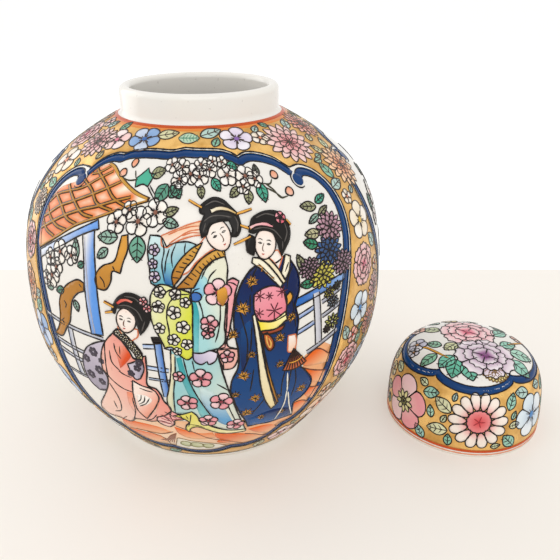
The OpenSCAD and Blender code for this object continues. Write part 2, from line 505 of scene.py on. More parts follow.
class Coat:
    """Paint fired on to a surface: closed patches and brush lines, gathered into one mesh. place
    carries (u, v) points and a height to millimetres, stretch widens everything, shift moves it
    round the jar, and ink is the colour of outlines and veins."""

    def __init__(self, place, shift=0.0, stretch=1.0):
        self.place, self.shift, self.stretch, self.ink = place, shift, stretch, INK
        self.verts, self.faces, self.smooth, self.paint, self.count = [], [], [], [], 0

    def add(self, uv, outs, faces, smooth, colour):
        """Adds points at their heights above the glaze, in one colour or with a colour for each."""
        moved = uv * (self.stretch, 1) + (self.shift, 0)
        self.verts.append(self.place(moved, outs))
        self.faces += [[i + self.count for i in face] for face in faces]
        self.smooth += smooth
        self.paint.append(colour(uv) if callable(colour) else np.tile(colour, (len(uv), 1)))
        self.count += len(uv)

    def fill(self, loops, colour, level, grain=3.0):
        """A patch inside a loop, or inside several with the inner ones as holes. Its top lies level
        layers above the glaze, and its sides go down into it."""
        loops = [loops] if isinstance(loops, np.ndarray) else loops
        points, tris = mesh_inside(loops, grain)
        n = len(points)
        sides = np.vstack([tris[:, [0, 1]], tris[:, [1, 2]], tris[:, [2, 0]]])
        key = np.sort(sides, 1) @ (n, 1)
        values, counts = np.unique(key, return_counts=True)
        rim = sides[np.isin(key, values[counts == 1])]
        walls = np.c_[rim[:, 1], rim[:, 0], rim[:, 0] + n, rim[:, 1] + n]
        faces = tris.tolist() + (tris[:, ::-1] + n).tolist() + walls.tolist()
        outs = np.r_[np.full(n, level * LAYER), np.full(n, SUNK)]
        self.add(np.vstack([points, points]), outs, faces,
                 [True] * len(tris) + [False] * (len(tris) + len(walls)), colour)

    def line(self, path, colour, level, width=INK_WIDTH, closed=False, taper=0.6, edge=0.85):
        """A brush line along a path. It thins to a share, taper, of its width at its ends, and
        unless it is wide it swells and thins a little along its length. A fine line spreads by
        SPREAD as it is fired. edge is how much of its top is flat."""
        path = np.asarray(path, float)
        run = np.roll(path, -1, 0) - np.roll(path, 1, 0) if closed else np.gradient(path, axis=0)
        run = run / np.maximum(np.linalg.norm(run, axis=1), 1e-9)[:, None]
        across = np.c_[-run[:, 1], run[:, 0]]
        s = np.r_[0, np.cumsum(np.linalg.norm(np.diff(path, axis=0), axis=1))]
        swell = 1 + 0.16 * np.sin(s * 0.9 + path[0, 0]) + 0.1 * np.sin(s * 2.3 + path[0, 1])
        ends = np.ones(len(path))
        if not closed:
            from_end = np.minimum(s, s[-1] - s) / (4 * width)
            ends = taper + (1 - taper) * np.minimum(1, from_end + 0.05)
        swell = swell if width < WIDEST_SWELL else 1
        half = ((width + SPREAD * (width < FINE_WIDTH)) / 2 * swell * ends)[:, None]
        rows = [path - across * half, path - across * half * edge, path + across * half * edge,
                path + across * half]
        uv = np.stack(rows, 1).reshape(-1, 2)
        n = len(path)
        outs = np.tile([SUNK, level * LAYER, level * LAYER, SUNK], n)
        i = np.arange(n if closed else n - 1) * 4
        j = (i + 4) % (4 * n)
        strips = [np.c_[i + a, j + a, j + b, i + b] for a, b in ((1, 2), (0, 1), (2, 3), (3, 0))]
        faces = np.vstack(strips).tolist()
        smooth = [True] * len(i) + [False] * 3 * len(i)
        if not closed:
            faces += [[0, 1, 2, 3], [4 * n - 1, 4 * n - 2, 4 * n - 3, 4 * n - 4]]
            smooth += [False, False]
        self.add(uv, outs, faces, smooth, colour)

    def shape(self, loop, colour, level, grain=3.0, ink=None, width=INK_WIDTH):
        """A patch with an ink line round it, a little more than a layer above the patch."""
        self.fill(loop, colour, level, grain)
        self.line(loop, self.ink if ink is None else ink, level + 1.2, width, closed=True)

    def fire(self, name, material, body, slot):
        """Makes the gathered paint one piece."""
        piece = new_piece(name, np.vstack(self.verts), self.faces, material, body,
                          np.array(self.smooth))
        paint = piece.data.color_attributes.new("paint", "FLOAT_COLOR", "POINT")
        paint.data.foreach_set("color", np.c_[np.vstack(self.paint), np.ones(self.count)].ravel())


INK = rgb("1c1412")
COBALT = rgb("033f78")
cobalt, cobalt_shader = glazed("cobalt under the glaze", (1, 1, 1), (0.45, 0.5, 0.62), 0.8, 0.15, 0.10, 0.6,
                               paint="paint")
enamel, enamel_shader = glazed("fired enamel", (1, 1, 1), (0.86, 0.84, 0.82), 0.6, 0.15, 0.16, 0.9,
                               paint="paint")
PAINT_GLOSS = 0.22
for shader in (cobalt_shader, enamel_shader):
    shader.inputs["Specular IOR Level"].default_value = PAINT_GLOSS

BAND = 4.2
frame_top = drawn("-62.2,71.8 -59.8,76 -56,79.8 -50,82.4 -44,82.8! -40,84.8 -32,86.2 -22,86.7 -10,86.6"
                  " -2,87.9! 8,87.3 16,86.9 24,86 29.5,84 33,81.8! 38,83.5 44,83.3 50,81.6 56,78.6"
                  " 59.4,75.4 62.2,71.8", False)
frame_sides = drawn("-64.6,69.4 -67.6,71.6 -72.4,71.2 -77.5,67.5 -81,61 -82,53 -81,44 -78.5,34 -75.5,24"
                    " -72,12 -69,0 -66,-12 -63,-25 -60,-37 -57,-47 -53,-54 -48.5,-57! -45,-63 -40,-69"
                    " -33,-72 -26,-72.6 -19,-71.6! -12,-75.2 -4,-77 4,-77 12,-75.2 19,-71.6! 27,-72.6"
                    " 34,-71.6 41,-67.6 46,-61.5 49,-56.6! 54,-55 58.5,-50 61,-42 64,-30 66.5,-18 69,-6"
                    " 72,7 75,19 78,32 80.8,44 81.6,54 80,63 76.6,68.4 72,71.2 67.6,71.6 64.6,69.4", False)


def offset(path, distance):
    """A path moved to its left by a distance, in millimetres."""
    return path + left_of(path) * distance


# The outer edge of the whole panel, hooks and all, which the gold stops short of.
PANEL_EDGE = drawn("-62.5,75.2! -60.5,79.6 -56,83.3 -50,85.6 -44,86! -39,87.8 -31,89.4 -22,89.9 -10,89.8"
                   " -2,91.2! 8,90.6 17,90.2 25,89.2 30.5,87 33.2,85.2! 38,86.8 45,86.5 52,84.5 58,81.2"
                   " 62.4,76.4 63.5,75.3! 71,75.6 78,72.2 83,65.5 85.2,55 84.2,43 81.4,31 78.4,18 75.4,6"
                   " 72.4,-7 69.9,-19 67.3,-31 64.3,-43 61.5,-52 56.5,-57.8 51,-59.6! 48.3,-64.3 43,-70.6"
                   " 35.5,-74.8 27,-76 19.5,-74.9! 12.5,-78.6 4,-80.4 -4,-80.4 -12.5,-78.6 -19.5,-74.9!"
                   " -26,-76 -34,-75.4 -42,-72 -47.5,-65.8 -50.3,-60.2! -55.8,-56.6 -60.2,-48.5 -63.3,-38"
                   " -66.3,-26 -69.3,-13 -72.3,-1 -75.3,11 -78.8,23 -81.8,33.5 -84.4,43.5 -85.5,53 -84.4,62"
                   " -80.2,70 -73.5,74.6 -66,75.4")
PANELS = [(0.0, 1.0), (PANEL_PITCH, SIDE_PANEL_SHRINK), (-PANEL_PITCH, SIDE_PANEL_SHRINK)]
HOOK, HOOK_R = (64.0, 68.8), 3.0
ring = np.linspace(0, 2 * np.pi, 18, endpoint=False)
SCROLL_R = 4.1
blue = Coat(on_jar)
edges = Coat(on_jar)
for bearing, squeeze in PANELS:
    for coat in (blue, edges):
        coat.shift, coat.stretch = math.radians(bearing) * BELLY_R, squeeze
    for path, left in ((frame_top, 1), (frame_sides, -1)):
        blue.line(path, COBALT, 2, BAND, taper=0.95, edge=0.97)
        edges.line(offset(path, -left * BAND / 2)[2:-2], INK, 3, 0.45)
        edges.line(offset(path, left * BAND / 2)[2:-2], INK, 3, 0.35)
    edges.line(PANEL_EDGE, INK, 3, 0.65, closed=True)
    for side_x in (-HOOK[0], HOOK[0]):
        scroll = np.c_[side_x + HOOK_R * np.cos(ring), HOOK[1] + HOOK_R * np.sin(ring)]
        blue.fill(scroll, COBALT, 4.5, 1.2)
        curl = np.pi / 2 + np.sign(side_x) * np.linspace(0.5, 3.6, 22)
        spiral = np.c_[side_x + SCROLL_R * np.cos(curl), HOOK[1] + SCROLL_R * np.sin(curl)]
        edges.line(spiral, INK, 4.6, 0.42)
blue.fire("panel_frames", cobalt, "jar", "cobalt")
edges.fire("panel_frame_lines", enamel, "jar", "enamel")

# ---------------------------------------------------------------- The gilt ground
# Everything outside the panels is gilded from the neck line to the foot: bright gold fired on in one
# coat, brushed thick and thin, so that it is deep ochre in places and nearly bare in others.
GROUND_TOP = side_run[-1] - 1.2
GROUND_BOTTOM = side_run[0] + 1.5
RING_STEPS = 360
half_round = np.pi * BELLY_R
gilding, gilding_shader = simple_material("fired gilding", (0.6, 0.33, 0.07), 0.3)
gold, gold_in, gold_out = node_group(
    "brushed gold",
    [("Deep", "NodeSocketColor", (0.42, 0.2, 0.03, 1)),
     ("Bright", "NodeSocketColor", (0.83, 0.52, 0.16, 1)),
     ("Brush Scale", "NodeSocketFloat", 90.0)],
    [("Colour", "NodeSocketColor"), ("Roughness", "NodeSocketFloat"), ("Metallic", "NodeSocketFloat"),
     ("Height", "NodeSocketFloat")])
where = gold.nodes.new("ShaderNodeTexCoord").outputs["Object"]
brush = noise(gold, where, 90.0, 5.0, 0.6)
gold.links.new(gold_in.outputs["Brush Scale"], brush.inputs["Scale"])
patch = noise(gold, where, 28.0, 3.0, 0.5)
tone = maths(gold, "MULTIPLY", ranged(gold, brush.outputs["Fac"], 0.25, 1.0, 0.35, 0.62),
             ranged(gold, patch.outputs["Fac"], 0.45, 1.0, 0.35, 0.6))
brushed = mixed(gold, tone, gold_in.outputs["Deep"], gold_in.outputs["Bright"])
gold.links.new(brushed, gold_out.inputs["Colour"])
gold.links.new(ranged(gold, brush.outputs["Fac"], 0.42, 0.22), gold_out.inputs["Roughness"])
gold.links.new(ranged(gold, patch.outputs["Fac"], 0.25, 0.55), gold_out.inputs["Metallic"])
gold.links.new(brush.outputs["Fac"], gold_out.inputs["Height"])
GOLD_TINTS = (("Deep", (0.50, 0.24, 0.035, 1)), ("Bright", (0.94, 0.585, 0.19, 1)), ("Brush Scale", 110.0))
BRUSH_DEPTH = 0.00006
gold_coat = coated(gilding.node_tree, gilding_shader, gold, GOLD_TINTS, BRUSH_DEPTH)
gilding.node_tree.links.new(gold_coat.outputs["Metallic"], gilding_shader.inputs["Metallic"])

gilt = Coat(on_jar)
border = straight_sided([(-half_round, GROUND_BOTTOM), (half_round, GROUND_BOTTOM),
                         (half_round, GROUND_TOP), (-half_round, GROUND_TOP)], 2.0)
holes = [PANEL_EDGE * (squeeze, 1) + (math.radians(bearing) * BELLY_R, 0) for bearing, squeeze in PANELS]
gilt.fill([border, *holes], rgb("ffffff"), 1, 3.0)
gilt.fire("gilt_ground", gilding, "jar", "gilding")

IRON_RED = rgb("c8501c")
neck_line = Coat(on_jar)
ring_u = np.linspace(-half_round, half_round, RING_STEPS + 1)
for v, width, colour, level in ((side_run[-1] - 2.8, 2.0, rgb("e0873a"), 1.5),
                                (side_run[-1] - 1.0, 2.0, IRON_RED, 2), (side_run[0] + 1.2, 0.9, INK, 2)):
    neck_line.line(np.c_[ring_u, np.full(len(ring_u), v)], colour, level, width, taper=1)
neck_line.fire("neck_and_foot_lines", enamel, "jar", "enamel")

# ---------------------------------------------------------------- The front panel: house, fences and floor
# Overglaze enamel inside the front frame. Behind the figures stand a tiled eave on a blue post, a
# tree in blossom, low rail fences and a floor of orange tiles.
front = Coat(on_jar)
ORANGE, OCHRE, BARK, UMBER = rgb("ee6a16"), rgb("b9812f"), rgb("d99b3f"), rgb("3d2510")
AZURE, GREY, WHITE = rgb("2f6fc4"), rgb("a9abb8"), rgb("f5f1e8")

# The foot of the panel just inside its frame, from left to right, which the floor shares with the
# meadows of the side panels.
PANEL_FOOT = ("-50,-44! -46,-56! -42,-64 -35,-69.5 -27,-70.3 -19,-69.4! -12,-72.8 -4,-74.6 4,-74.6 12,-72.8"
              " 19,-69.4! 27,-70.3 34,-69.3 40,-65.4 44.5,-59 47,-54.2! 52,-53 56.5,-48.5")
floor_loop = drawn(PANEL_FOOT + " 59,-41 62,-29.5 64.4,-17.5 66.4,-8! 58,-3.5 51,-8! 50,-20 50,-36! 30,-40"
                                " -10,-38 -30,-38")
front.fill(floor_loop, wash(rgb("f3b07c"), rgb("f7d8b8"), (20, -40), (0, -70)), 1, 3.0)
TILES = [("50,-9.5! 57,-6.8 63,-9.5 66,-12.5! 65.5,-17! 58,-15.5 50.5,-12.5", (57, -8), (60, -16)),
         ("51,-15! 57,-18 65.3,-21.5! 64.5,-29! 57.5,-26!", (56, -18), (62, -28)),
         ("57.5,-29! 64,-31.5! 62.5,-40! 57,-35.5 55,-32.5", (58, -30), (62, -39)),
         ("48,-38! 53,-37.2 60.5,-42! 57.8,-47.5! 52,-48.5", (52, -38), (57, -48)),
         ("-42,-47! -30,-45 -18,-47 -14,-50! -20,-54 -30,-54 -40,-56! -44,-54", (-32, -46), (-30, -56)),
         ("-11,-44! -4,-48 2,-50.5 8,-50! 10,-56! 2,-58 -5,-57 -10,-52", (-2, -47), (-2, -58)),
         ("9,-51! 20,-53.5 27,-56.5 33,-60 38,-64.5 42,-66.5! 34,-69 24,-68 16,-62 10,-57", (24, -55),
          (28, -68)), ("27,-51! 34,-50.5 40,-52 45,-57 46,-59! 42,-63.5! 34,-58.5", (36, -51), (42, -62)),
         ("-44,-58! -34,-56.5 -22,-57! -21,-67! -30,-68.5 -38,-66", (-34, -57), (-30, -68)),
         ("12,-59! 20,-64 25,-68.5! 18,-68! 10,-62", (16, -60), (20, -68)),]
for text, start, end in TILES:
    front.fill(drawn(text), wash(ORANGE, rgb("f6bd8c"), start, end), 2, 1.6)
for text in ("50,-10 57,-6.6 66.2,-12.8", "50,-14 58,-18.5 65.6,-22", "54,-27.5 64,-31.8",
             "49,-37 54,-37.2 61.5,-42.6", "-10,-43 -2,-49 6,-57 14,-61.5 22,-66.5 27,-70",
             "26,-56 33,-60 38,-64 43,-68", "44,-55 47,-59", "-13,-50 -20,-54 -30,-54.5 -42,-56.5",
             "-30,-55 -24,-57 -21,-60 -20,-68.5"):
    front.line(drawn(text, False), rgb("6b3216"), 3, 0.45)
# White mist over the tiles at the bottom, with moss-green stones and a tuft of brown grass.
front.shape(drawn("-17,-70! -14,-62 -12,-57.5 -8.5,-58.5 -6,-60 -1,-61.5 5,-63.5 11,-66 16,-69.5! 10,-73"
                  " 4,-74.3 -4,-74.3 -12,-72.6"), wash(rgb("e7e0cc"), WHITE, (0, -60), (0, -74)), 3, 2.0,
            rgb("8a6a44"), 0.35)
for text in ("-12.4,-66 -10.4,-61.8 -6.6,-62.4 -5.6,-66 -8.6,-69",
             "-6.2,-64.4 -3,-62.6 1,-64.6 1.4,-68.6 -2.6,-70 -6,-68",
             "1.4,-65.6 5,-64.8 8,-67.4 7,-70.4 3,-71"):
    stone = drawn(text)
    front.shape(stone, wash(rgb("e3e6c6"), rgb("a5ae72"), stone.max(axis=0), stone.min(axis=0)), 4.4, 1.5,
                rgb("7d7a3c"), 0.45)
for i in range(7):
    front.line(bow([(-11.5 - i * 0.6, -51 - i * 0.5), (-14 - i * 0.9, -58 - i * 0.4),
                    (-17 - i * 1.3, -66 + i * 0.4)], 0.8), rgb("8c4f2c"), 3.4, 0.45, taper=0.3)


def rails(coat, rows, colour, shade, level=2):
    """Fence rails and posts: straight bars (x0, y0, x1, y1, width), each shaded across its width."""
    for x0, y0, x1, y1, width in rows:
        run = np.array([x1 - x0, y1 - y0], float)
        side_step = np.array([-run[1], run[0]]) / np.linalg.norm(run) * width / 2
        a, b = np.array([x0, y0], float), np.array([x1, y1], float)
        loop = straight_sided([a - side_step, b - side_step, b + side_step, a + side_step], 1.5)
        middle = (a + b) / 2
        coat.fill(loop, wash(colour, shade, middle + side_step, middle - side_step), level, 1.5)
        coat.line(bow([a + side_step, b + side_step], 1.5), INK, level + 1, 0.42)
        coat.line(bow([a - side_step, b - side_step], 1.5), INK, level + 1, 0.42)


# Left fence of grey rails, the middle one with its capped blue post, and the right one.
rails(front, [(-72.5, 6.4, -36, 4.6, 1.6), (-67, -4, -47, -5.4, 1.6), (-65.5, -8.4, -48, -10.6, 1.8),
              (-62, -18.6, -50, -19.4, 1.2), (-55, 4.6, -53, -19, 3.0)], rgb("e6e6ea"), rgb("8f98b0"))
rails(front, [(-18, 4.4, -12.5, 4.8, 2.0), (-17, -5.6, -8, -6.4, 1.9), (-17, -11.2, -8, -11.8, 1.0),
              (-9, 5.2, -5.5, 4.4, 2.0)], rgb("8fb2e2"), rgb("e8eefa"))
rails(front, [(-11.6, 8, -10.2, -21, 3.0)], AZURE, rgb("9dbbe6"), 3)
front.shape(drawn("-14,9! -9,9! -9.3,6.6! -13.2,6.2!"), INK, 4)
rails(front, [(46, 11.4, 55.5, 14.2, 2.0), (46.5, 4.6, 55.5, 7.2, 2.0)], rgb("cfd8ee"), rgb("5f86c8"))
rails(front, [(60, 15.2, 71.5, 18.2, 1.9), (60, 8.6, 71, 11.4, 1.9), (52, -6.6, 69.5, -1.2, 2.0)],
      rgb("c9cbd6"), rgb("8c8f9e"))
rails(front, [(57, 20.4, 58.2, -3.8, 3.4)], rgb("b9bac6"), rgb("dfe0e8"), 3)
front.shape(drawn("45.4,16.4! 60,19.2 74.6,21.2! 75.4,24.6! 60,22.8 45.2,20!"),
            wash(AZURE, rgb("8db2e6"), (50, 18), (72, 24)), 3)

# The eave: orange tiles between gilt ribs, the ridge along the top and a blue beam under it.
roof_loop = drawn("-79.6,37! -80,46 -79.4,55 -76.6,62 -70,65.6 -61.4,69.3! -56.8,75.4 -52,78.6 -47.5,79.2!"
                  " -39,74.6 -30.7,70.4 -24,67.4 -16.2,65.2! -19,63 -29.3,60.2 -40,55.6 -53.6,49.6"
                  " -63.6,43.2 -74.3,36.6 -78,34.8")
RIBS = ["-79.6,47 -75.7,44.3 -66.4,42.4", "-79.8,52.9 -75,50 -66.4,47.1 -58.6,46.8",
        "-77,59.3 -68.6,56 -60,51.4 -53,50.4", "-70.7,65 -60,59.3 -50.7,55 -44.5,54.6",
        "-61.4,69.3 -51.4,65.4 -45,60.7 -35,58.6", "-56.8,75.4 -44.3,69.3 -35.7,63.6 -28.5,61.3",
        "-79.6,42.9 -70.7,47.9 -61.4,52.9 -51.4,57.1 -44.3,59.3 -35,62.8 -27,65.2",
        "-80,47.9 -75,51 -69.3,55 -61.4,58.6 -52.1,62.9 -45,66.4 -35.7,71.6",
        "-79.4,55 -75.7,59 -67.1,62.6 -57.1,66.6 -52.6,70.2 -44.3,75.9", "-58,72.6 -53.5,74 -48,78"]
ribs = [drawn(text, False) for text in RIBS]


def tile_glaze(uv):
    """The roof's orange: deepest beside the ribs, pale in the middle of each tile, and redder low down."""
    gap = np.min([np.min(np.linalg.norm(uv[:, None] - rib[None], axis=2), axis=1) for rib in ribs], axis=0)
    deep = wash(rgb("d9652c"), rgb("ea7c30"), (-74, 40), (-58, 62))(uv)
    pale = wash(rgb("f3a873"), rgb("fdf0da"), (-72, 42), (-56, 64))(uv)
    return deep + np.clip((gap - 0.9) / 3.6, 0, 1)[:, None] * (pale - deep)


front.fill(roof_loop, tile_glaze, 2, 1.1)
for rib in ribs:
    front.line(rib, UMBER, 3, 2.2, taper=0.9)
    front.line(rib, OCHRE, 3.8, 0.85, taper=0.9)
front.line(drawn("-50.5,79.3 -47,78.6 -39,74.4 -30.7,70 -24,67 -16.8,65", False), UMBER, 4, 2.1, taper=0.8)
front.line(drawn("-50,79 -47,78.4 -39,74.2 -30.7,69.8 -24,66.8 -18,65", False), rgb("c9963f"), 4.8, 1.4,
           taper=0.8)
front.line(drawn("-78,34.9 -74.3,36.7 -63.6,43.3 -53.6,49.7 -40,55.7 -29.3,60.3 -17,64.4", False), UMBER, 4,
           1.5, taper=0.8)
front.line(drawn("-77.6,35.2 -63.6,43.4 -53.6,49.8 -40,55.8 -29.3,60.4 -18,64.4", False), rgb("c08b3c"),
           4.8, 0.8, taper=0.8)
front.shape(drawn("-47.4,47! -41.4,50! -38.6,35.7 -37.1,22 -35.9,6.4! -42,5.6! -43.9,25.7 -45,38"),
            wash(rgb("eceae6"), rgb("5f98e4"), (-45.5, 30), (-40.5, 30)), 3, 1.6)
front.line(drawn("-46,46.5 -43,33 -41.6,20 -40,6.2", False), GREY, 4, 0.4)
front.shape(drawn("-76.9,34! -60,43.6 -40.7,54.2! -39.2,50.6! -46.4,47.7 -60,39.8 -75.8,30.8!"),
            wash(rgb("e8ecf4"), rgb("6fa0e6"), (-77, 31), (-44, 52)), 3, 1.6)


def petal_loop(length, width, blunt=0.5, reach=1.0, count=9, petals=0, root=0.0):
    """A petal or leaf from the origin along +x: half its width is width / 2 sin(pi s^reach)^blunt,
    with s the share of its length. blunt 1 gives a point, and 0.4 a round tip. With petals given,
    it keeps to its own share of the turn about a point that lies root behind the origin."""
    s = (1 - np.cos(np.linspace(0, np.pi, count + 1))) / 2
    half = width / 2 * np.sin(np.pi * s ** reach) ** blunt
    if petals:
        half = np.minimum(half, (root + s * length) * math.tan(math.pi / petals))
    upper = np.c_[s * length, half][1:-1]
    return np.vstack([[(0, 0)], upper * (1, -1), [(length, 0)], upper[::-1]])


def leaf(coat, x, y, turn, length, width, colour, level=3, tip=None, veins=3):
    """A leaf from its stalk at x, y: one patch, an ink outline, a midrib and pairs of veins."""
    tip = colour * 0.75 if tip is None else tip
    loop = seated(petal_loop(length, width, 0.85, 0.85, 10), x, y, turn)
    end = seated([(length * 0.9, 0)], x, y, turn)[0]
    coat.shape(loop, wash(colour, tip, (x, y), end), level, 1.4, width=0.42)
    coat.line(bow([(x, y), end], 0.9), coat.ink, level + 1.3, 0.32, taper=0.5)
    for i in range(veins):
        s = (i + 1) / (veins + 1)
        for way in (-1, 1):
            vein = seated([(length * s, 0), (length * (s + 0.16), way * width * 0.33)], x, y, turn)
            coat.line(bow(vein, 0.8), coat.ink, level + 1.2, 0.26, taper=0.3)


def disc(radius, count=12, squash=1.0):
    """A circle or an upright ellipse about the origin: (r cos a, squash r sin a)."""
    a = np.linspace(0, 2 * np.pi, count, endpoint=False)
    return np.c_[radius * np.cos(a), radius * squash * np.sin(a)]


def blossom(coat, x, y, size, colour, heart, level=4, turn=0.0, petals=5, width=0.42):
    """A blossom of round petals about x, y, every second one paler, with ink outlines, a small heart
    and short stamens."""
    for i in range(petals):
        a = turn + 360 / petals * i
        loop = seated(petal_loop(size, size * 4.5 / petals, 0.45, 1.45, 10, petals), x, y, a)
        tint = colour + 0.45 * (i % 2) * (1 - colour)
        shade = bloom(heart * 0.35 + tint * 0.65, tint, (x, y), size * 0.7)
        coat.shape(loop, shade, level, 1.4, width=width)
    for i in range(petals * 2):
        a = math.radians(turn + 180 / petals * i + 12)
        reach = size * (0.45 if i % 2 else 0.33)
        coat.line(bow([(x, y), (x + reach * math.cos(a), y + reach * math.sin(a))], 0.7), coat.ink,
                  level + 1.6, 0.26, taper=0.6)
    coat.fill(seated(disc(size * 0.16), x, y), heart, level + 2, 1.0)


def mum(coat, x, y, size, colour, level=4, squash=0.8, petals=17, turn=0.0, heart=None):
    """A chrysanthemum: three rings of pointed petals, or two on a small one, deepest at the heart."""
    heart = colour * 0.55 if heart is None else heart
    rings = ((0.3, 1.0, 1.0), (0.16, 0.74, 0.75), (0.0, 0.46, 0.5))[:3 if size > 5 else 2]
    for ring, (inner, outer, share) in enumerate(rings):
        n = max(6, round(petals * share))
        for i in range(n):
            a = turn + 360 / n * (i + 0.5 * ring)
            loop = petal_loop(size * (outer - inner), size * 0.3, 0.7, 1.3, 6) + (size * inner, 0)
            loop = seated(loop, 0, 0, a) * (1, squash) + (x, y)
            coat.fill(loop, bloom(heart, colour, (x, y), size * 0.75, 0.2), level + ring, 1.6)
            coat.line(loop, coat.ink, level + ring + 0.8, 0.34, closed=True)


# The tree: two lengths of ochre trunk behind the post, and branches into the blossom.
for text in ("-24.3,50! -23.6,44.3 -25.4,38.6 -26.4,34.6! -30,35 -30.7,30.7 -33.6,26.8 -37.1,26.8! -38.4,30"
             " -37.5,33.6 -35,36.4 -29.3,39.3 -27.9,44.3 -27.1,49.3!",
             "-44.3,27.6! -44.4,24.2! -47.9,22.5 -51.4,18.6 -52.9,12.9 -54.3,7.9 -57.1,4.3 -62,-1.6"
             " -67.4,-2! -64.3,1.3 -61.8,5.6 -60.8,10 -60.4,15.7 -59.3,18.6 -56.4,22.9 -52.1,26.4"
             " -47.1,28.4"):
    front.shape(drawn(text), wash(BARK, rgb("b57b2e"), (-30, 45), (-36, 27)), 3, 1.8)
for text in ("-36,32 -34,30 -33.6,28", "-30,37 -29,35.5", "-58,8.5 -59.5,7 -58.5,5.6",
             "-57,17 -55.6,15.6 -56.4,13.8", "-47,26.6 -45.6,25.6", "-20,71 -15.5,66 -12,62",
             "-18.4,71 -14.6,67", "-11,52 -6.5,56"):
    front.line(drawn(text, False), INK, 4.4, 0.45)

GREEN, TEAL, OLIVE, SAGE = rgb("5f9e86"), rgb("4fb195"), rgb("a9ab84"), rgb("9fc3b2")
BLOSSOM, BUD = rgb("faf5ec"), rgb("f0c8b4")
for x, y, turn, length, width, colour in ((-19.5, 50, -88, 10.5, 7.4, rgb("77b39b")),
        (-29, 48.5, 185, 10, 5.5, SAGE), (-33, 43.5, 220, 6.5, 4, SAGE), (-49.5, 36, 100, 9, 4.5, SAGE),
        (-48, 34, 30, 4, 3, GREEN), (-56.5, 22, 200, 6, 3.5, GREEN), (-50, 19, -70, 5, 3.4, SAGE),
        (-64, 21.5, 200, 6, 3.5, SAGE), (-7, 66, 60, 9, 6, GREEN), (-9, 72, -120, 9.5, 7, GREEN),
        (-6, 73, -60, 8.5, 6, GREEN), (-9, 59, 20, 7.5, 4, OLIVE), (-9, 56.5, -15, 7.5, 4.4, SAGE),
        (8.4, 71.5, -85, 6, 4, OLIVE), (15, 74.5, -60, 7, 5, TEAL), (24.5, 81, -20, 6.5, 5.5, TEAL),
        (28.5, 69.5, 215, 7, 4, OLIVE), (33, 68, -105, 6.5, 4.6, OLIVE), (40, 70.6, -90, 9, 6, TEAL),
        (40.5, 73.5, 80, 6.5, 4, rgb("6b6f66")), (-19.5, 76, 20, 8.5, 6, OLIVE)):
    leaf(front, x, y, turn, length, width, colour, 3)
front.shape(drawn("-27.6,74! -25,76.4 -22.4,79.4! -20.6,77 -17.4,76.6! -18.4,73.6 -19.6,70.4! -22.4,71.4"
                  " -26.4,69.8!"), TEAL, 3, 1.6)
for x, y, size, turn in ((-60, 37.5, 5.2, 10), (-52.5, 37.5, 4.2, 50), (-67, 33.5, 4, 30),
                         (-62, 30.5, 4.4, 70), (-65.2, 26, 5.4, 0), (-69.5, 23.5, 3.6, 20),
                         (-31, 54.5, 5, 20), (-25.6, 60, 4, 60), (-20.4, 55.6, 6.2, 10),
                         (-12.8, 59.6, 6, 40), (-8.5, 81.5, 4.2, 0), (-2, 80.5, 4.6, 30),
                         (-3, 74.5, 4.6, 60), (3, 77, 5.4, 0), (9, 81.6, 4, 20), (8, 75.4, 5, 50),
                         (14, 79, 4.4, 10), (16.2, 83, 3.4, 40), (21.8, 82.6, 3.4, 0),
                         (23.5, 75.6, 5.4, 15), (33.5, 74.5, 5.6, 30), (30.6, 69.6, 3.8, 0),
                         (38.4, 72.6, 4.4, 60)):
    blossom(front, x, y, size, BLOSSOM, rgb("8c5a48"), 4, turn)
for x, y, turn in ((-33, 75, 160), (-30.5, 79, 100), (50.4, 72.4, 20), (54.6, 64, 10)):
    front.shape(seated(petal_loop(4.6, 4.2, 0.5, 1.2), x - 2, y, turn),
                wash(BUD, rgb("f0a480"), (x, y - 2), (x, y + 2)), 4, 1.4)
for text in ("-36,73.4 -31.5,72.6 -26.5,73.4", "-30,77.4 -28,74", "42,70 46,69.4 48.2,71.4",
             "43,70 46.4,66.6 48.8,62.6 53,62.6", "42,68.4 47,65 49.8,62"):
    front.line(drawn(text, False), rgb("3c3a26"), 4.4, 0.5)

# Chrysanthemums on the right, above the fence and through its rails.
MAUVE, NAVY_FLOWER, PLUM = rgb("d0a3b4"), rgb("42659c"), rgb("b08fa0")
LEMON, MINT = rgb("e6dc62"), rgb("3f9a72")
for x, y, turn, length, width, colour in ((66.5, 55.5, 170, 9.5, 4.4, OLIVE), (67, 57, 15, 8.5, 3.6, TEAL),
        (66, 52, 200, 7.5, 3, SAGE), (66, 51.6, 20, 8, 3, OLIVE),
        (63.5, 44.6, 175, 8.5, 4.4, rgb("c9c59c")), (61, 40, 160, 8, 4.6, MINT), (52, 31, 110, 8, 4, OLIVE),
        (56, 25, 175, 7, 4, MINT)):
    leaf(front, x, y, turn, length, width, colour, 3)
for x, y, size, colour in ((70.5, 45.6, 8.6, MAUVE), (74.5, 29, 7.0, PLUM), (66.8, 36.4, 8.4, NAVY_FLOWER),
                           (54.6, 31.6, 5.8, PLUM), (61.2, 27.2, 7.6, LEMON)):
    mum(front, x, y, size, colour, petals=13)
for x, y, size, colour in ((64.5, 18.4, 3.4, LEMON), (69.4, 20, 2.6, rgb("7fc4a0")),
                           (66.5, 13.4, 3.6, rgb("8fa0b0")), (66, 4, 4.6, rgb("cdd070")),
                           (63, 1.4, 2.4, LEMON)):
    mum(front, x, y, size, colour, 3, 0.85, 9)

front.fire("front_scene", enamel, "jar", "enamel")

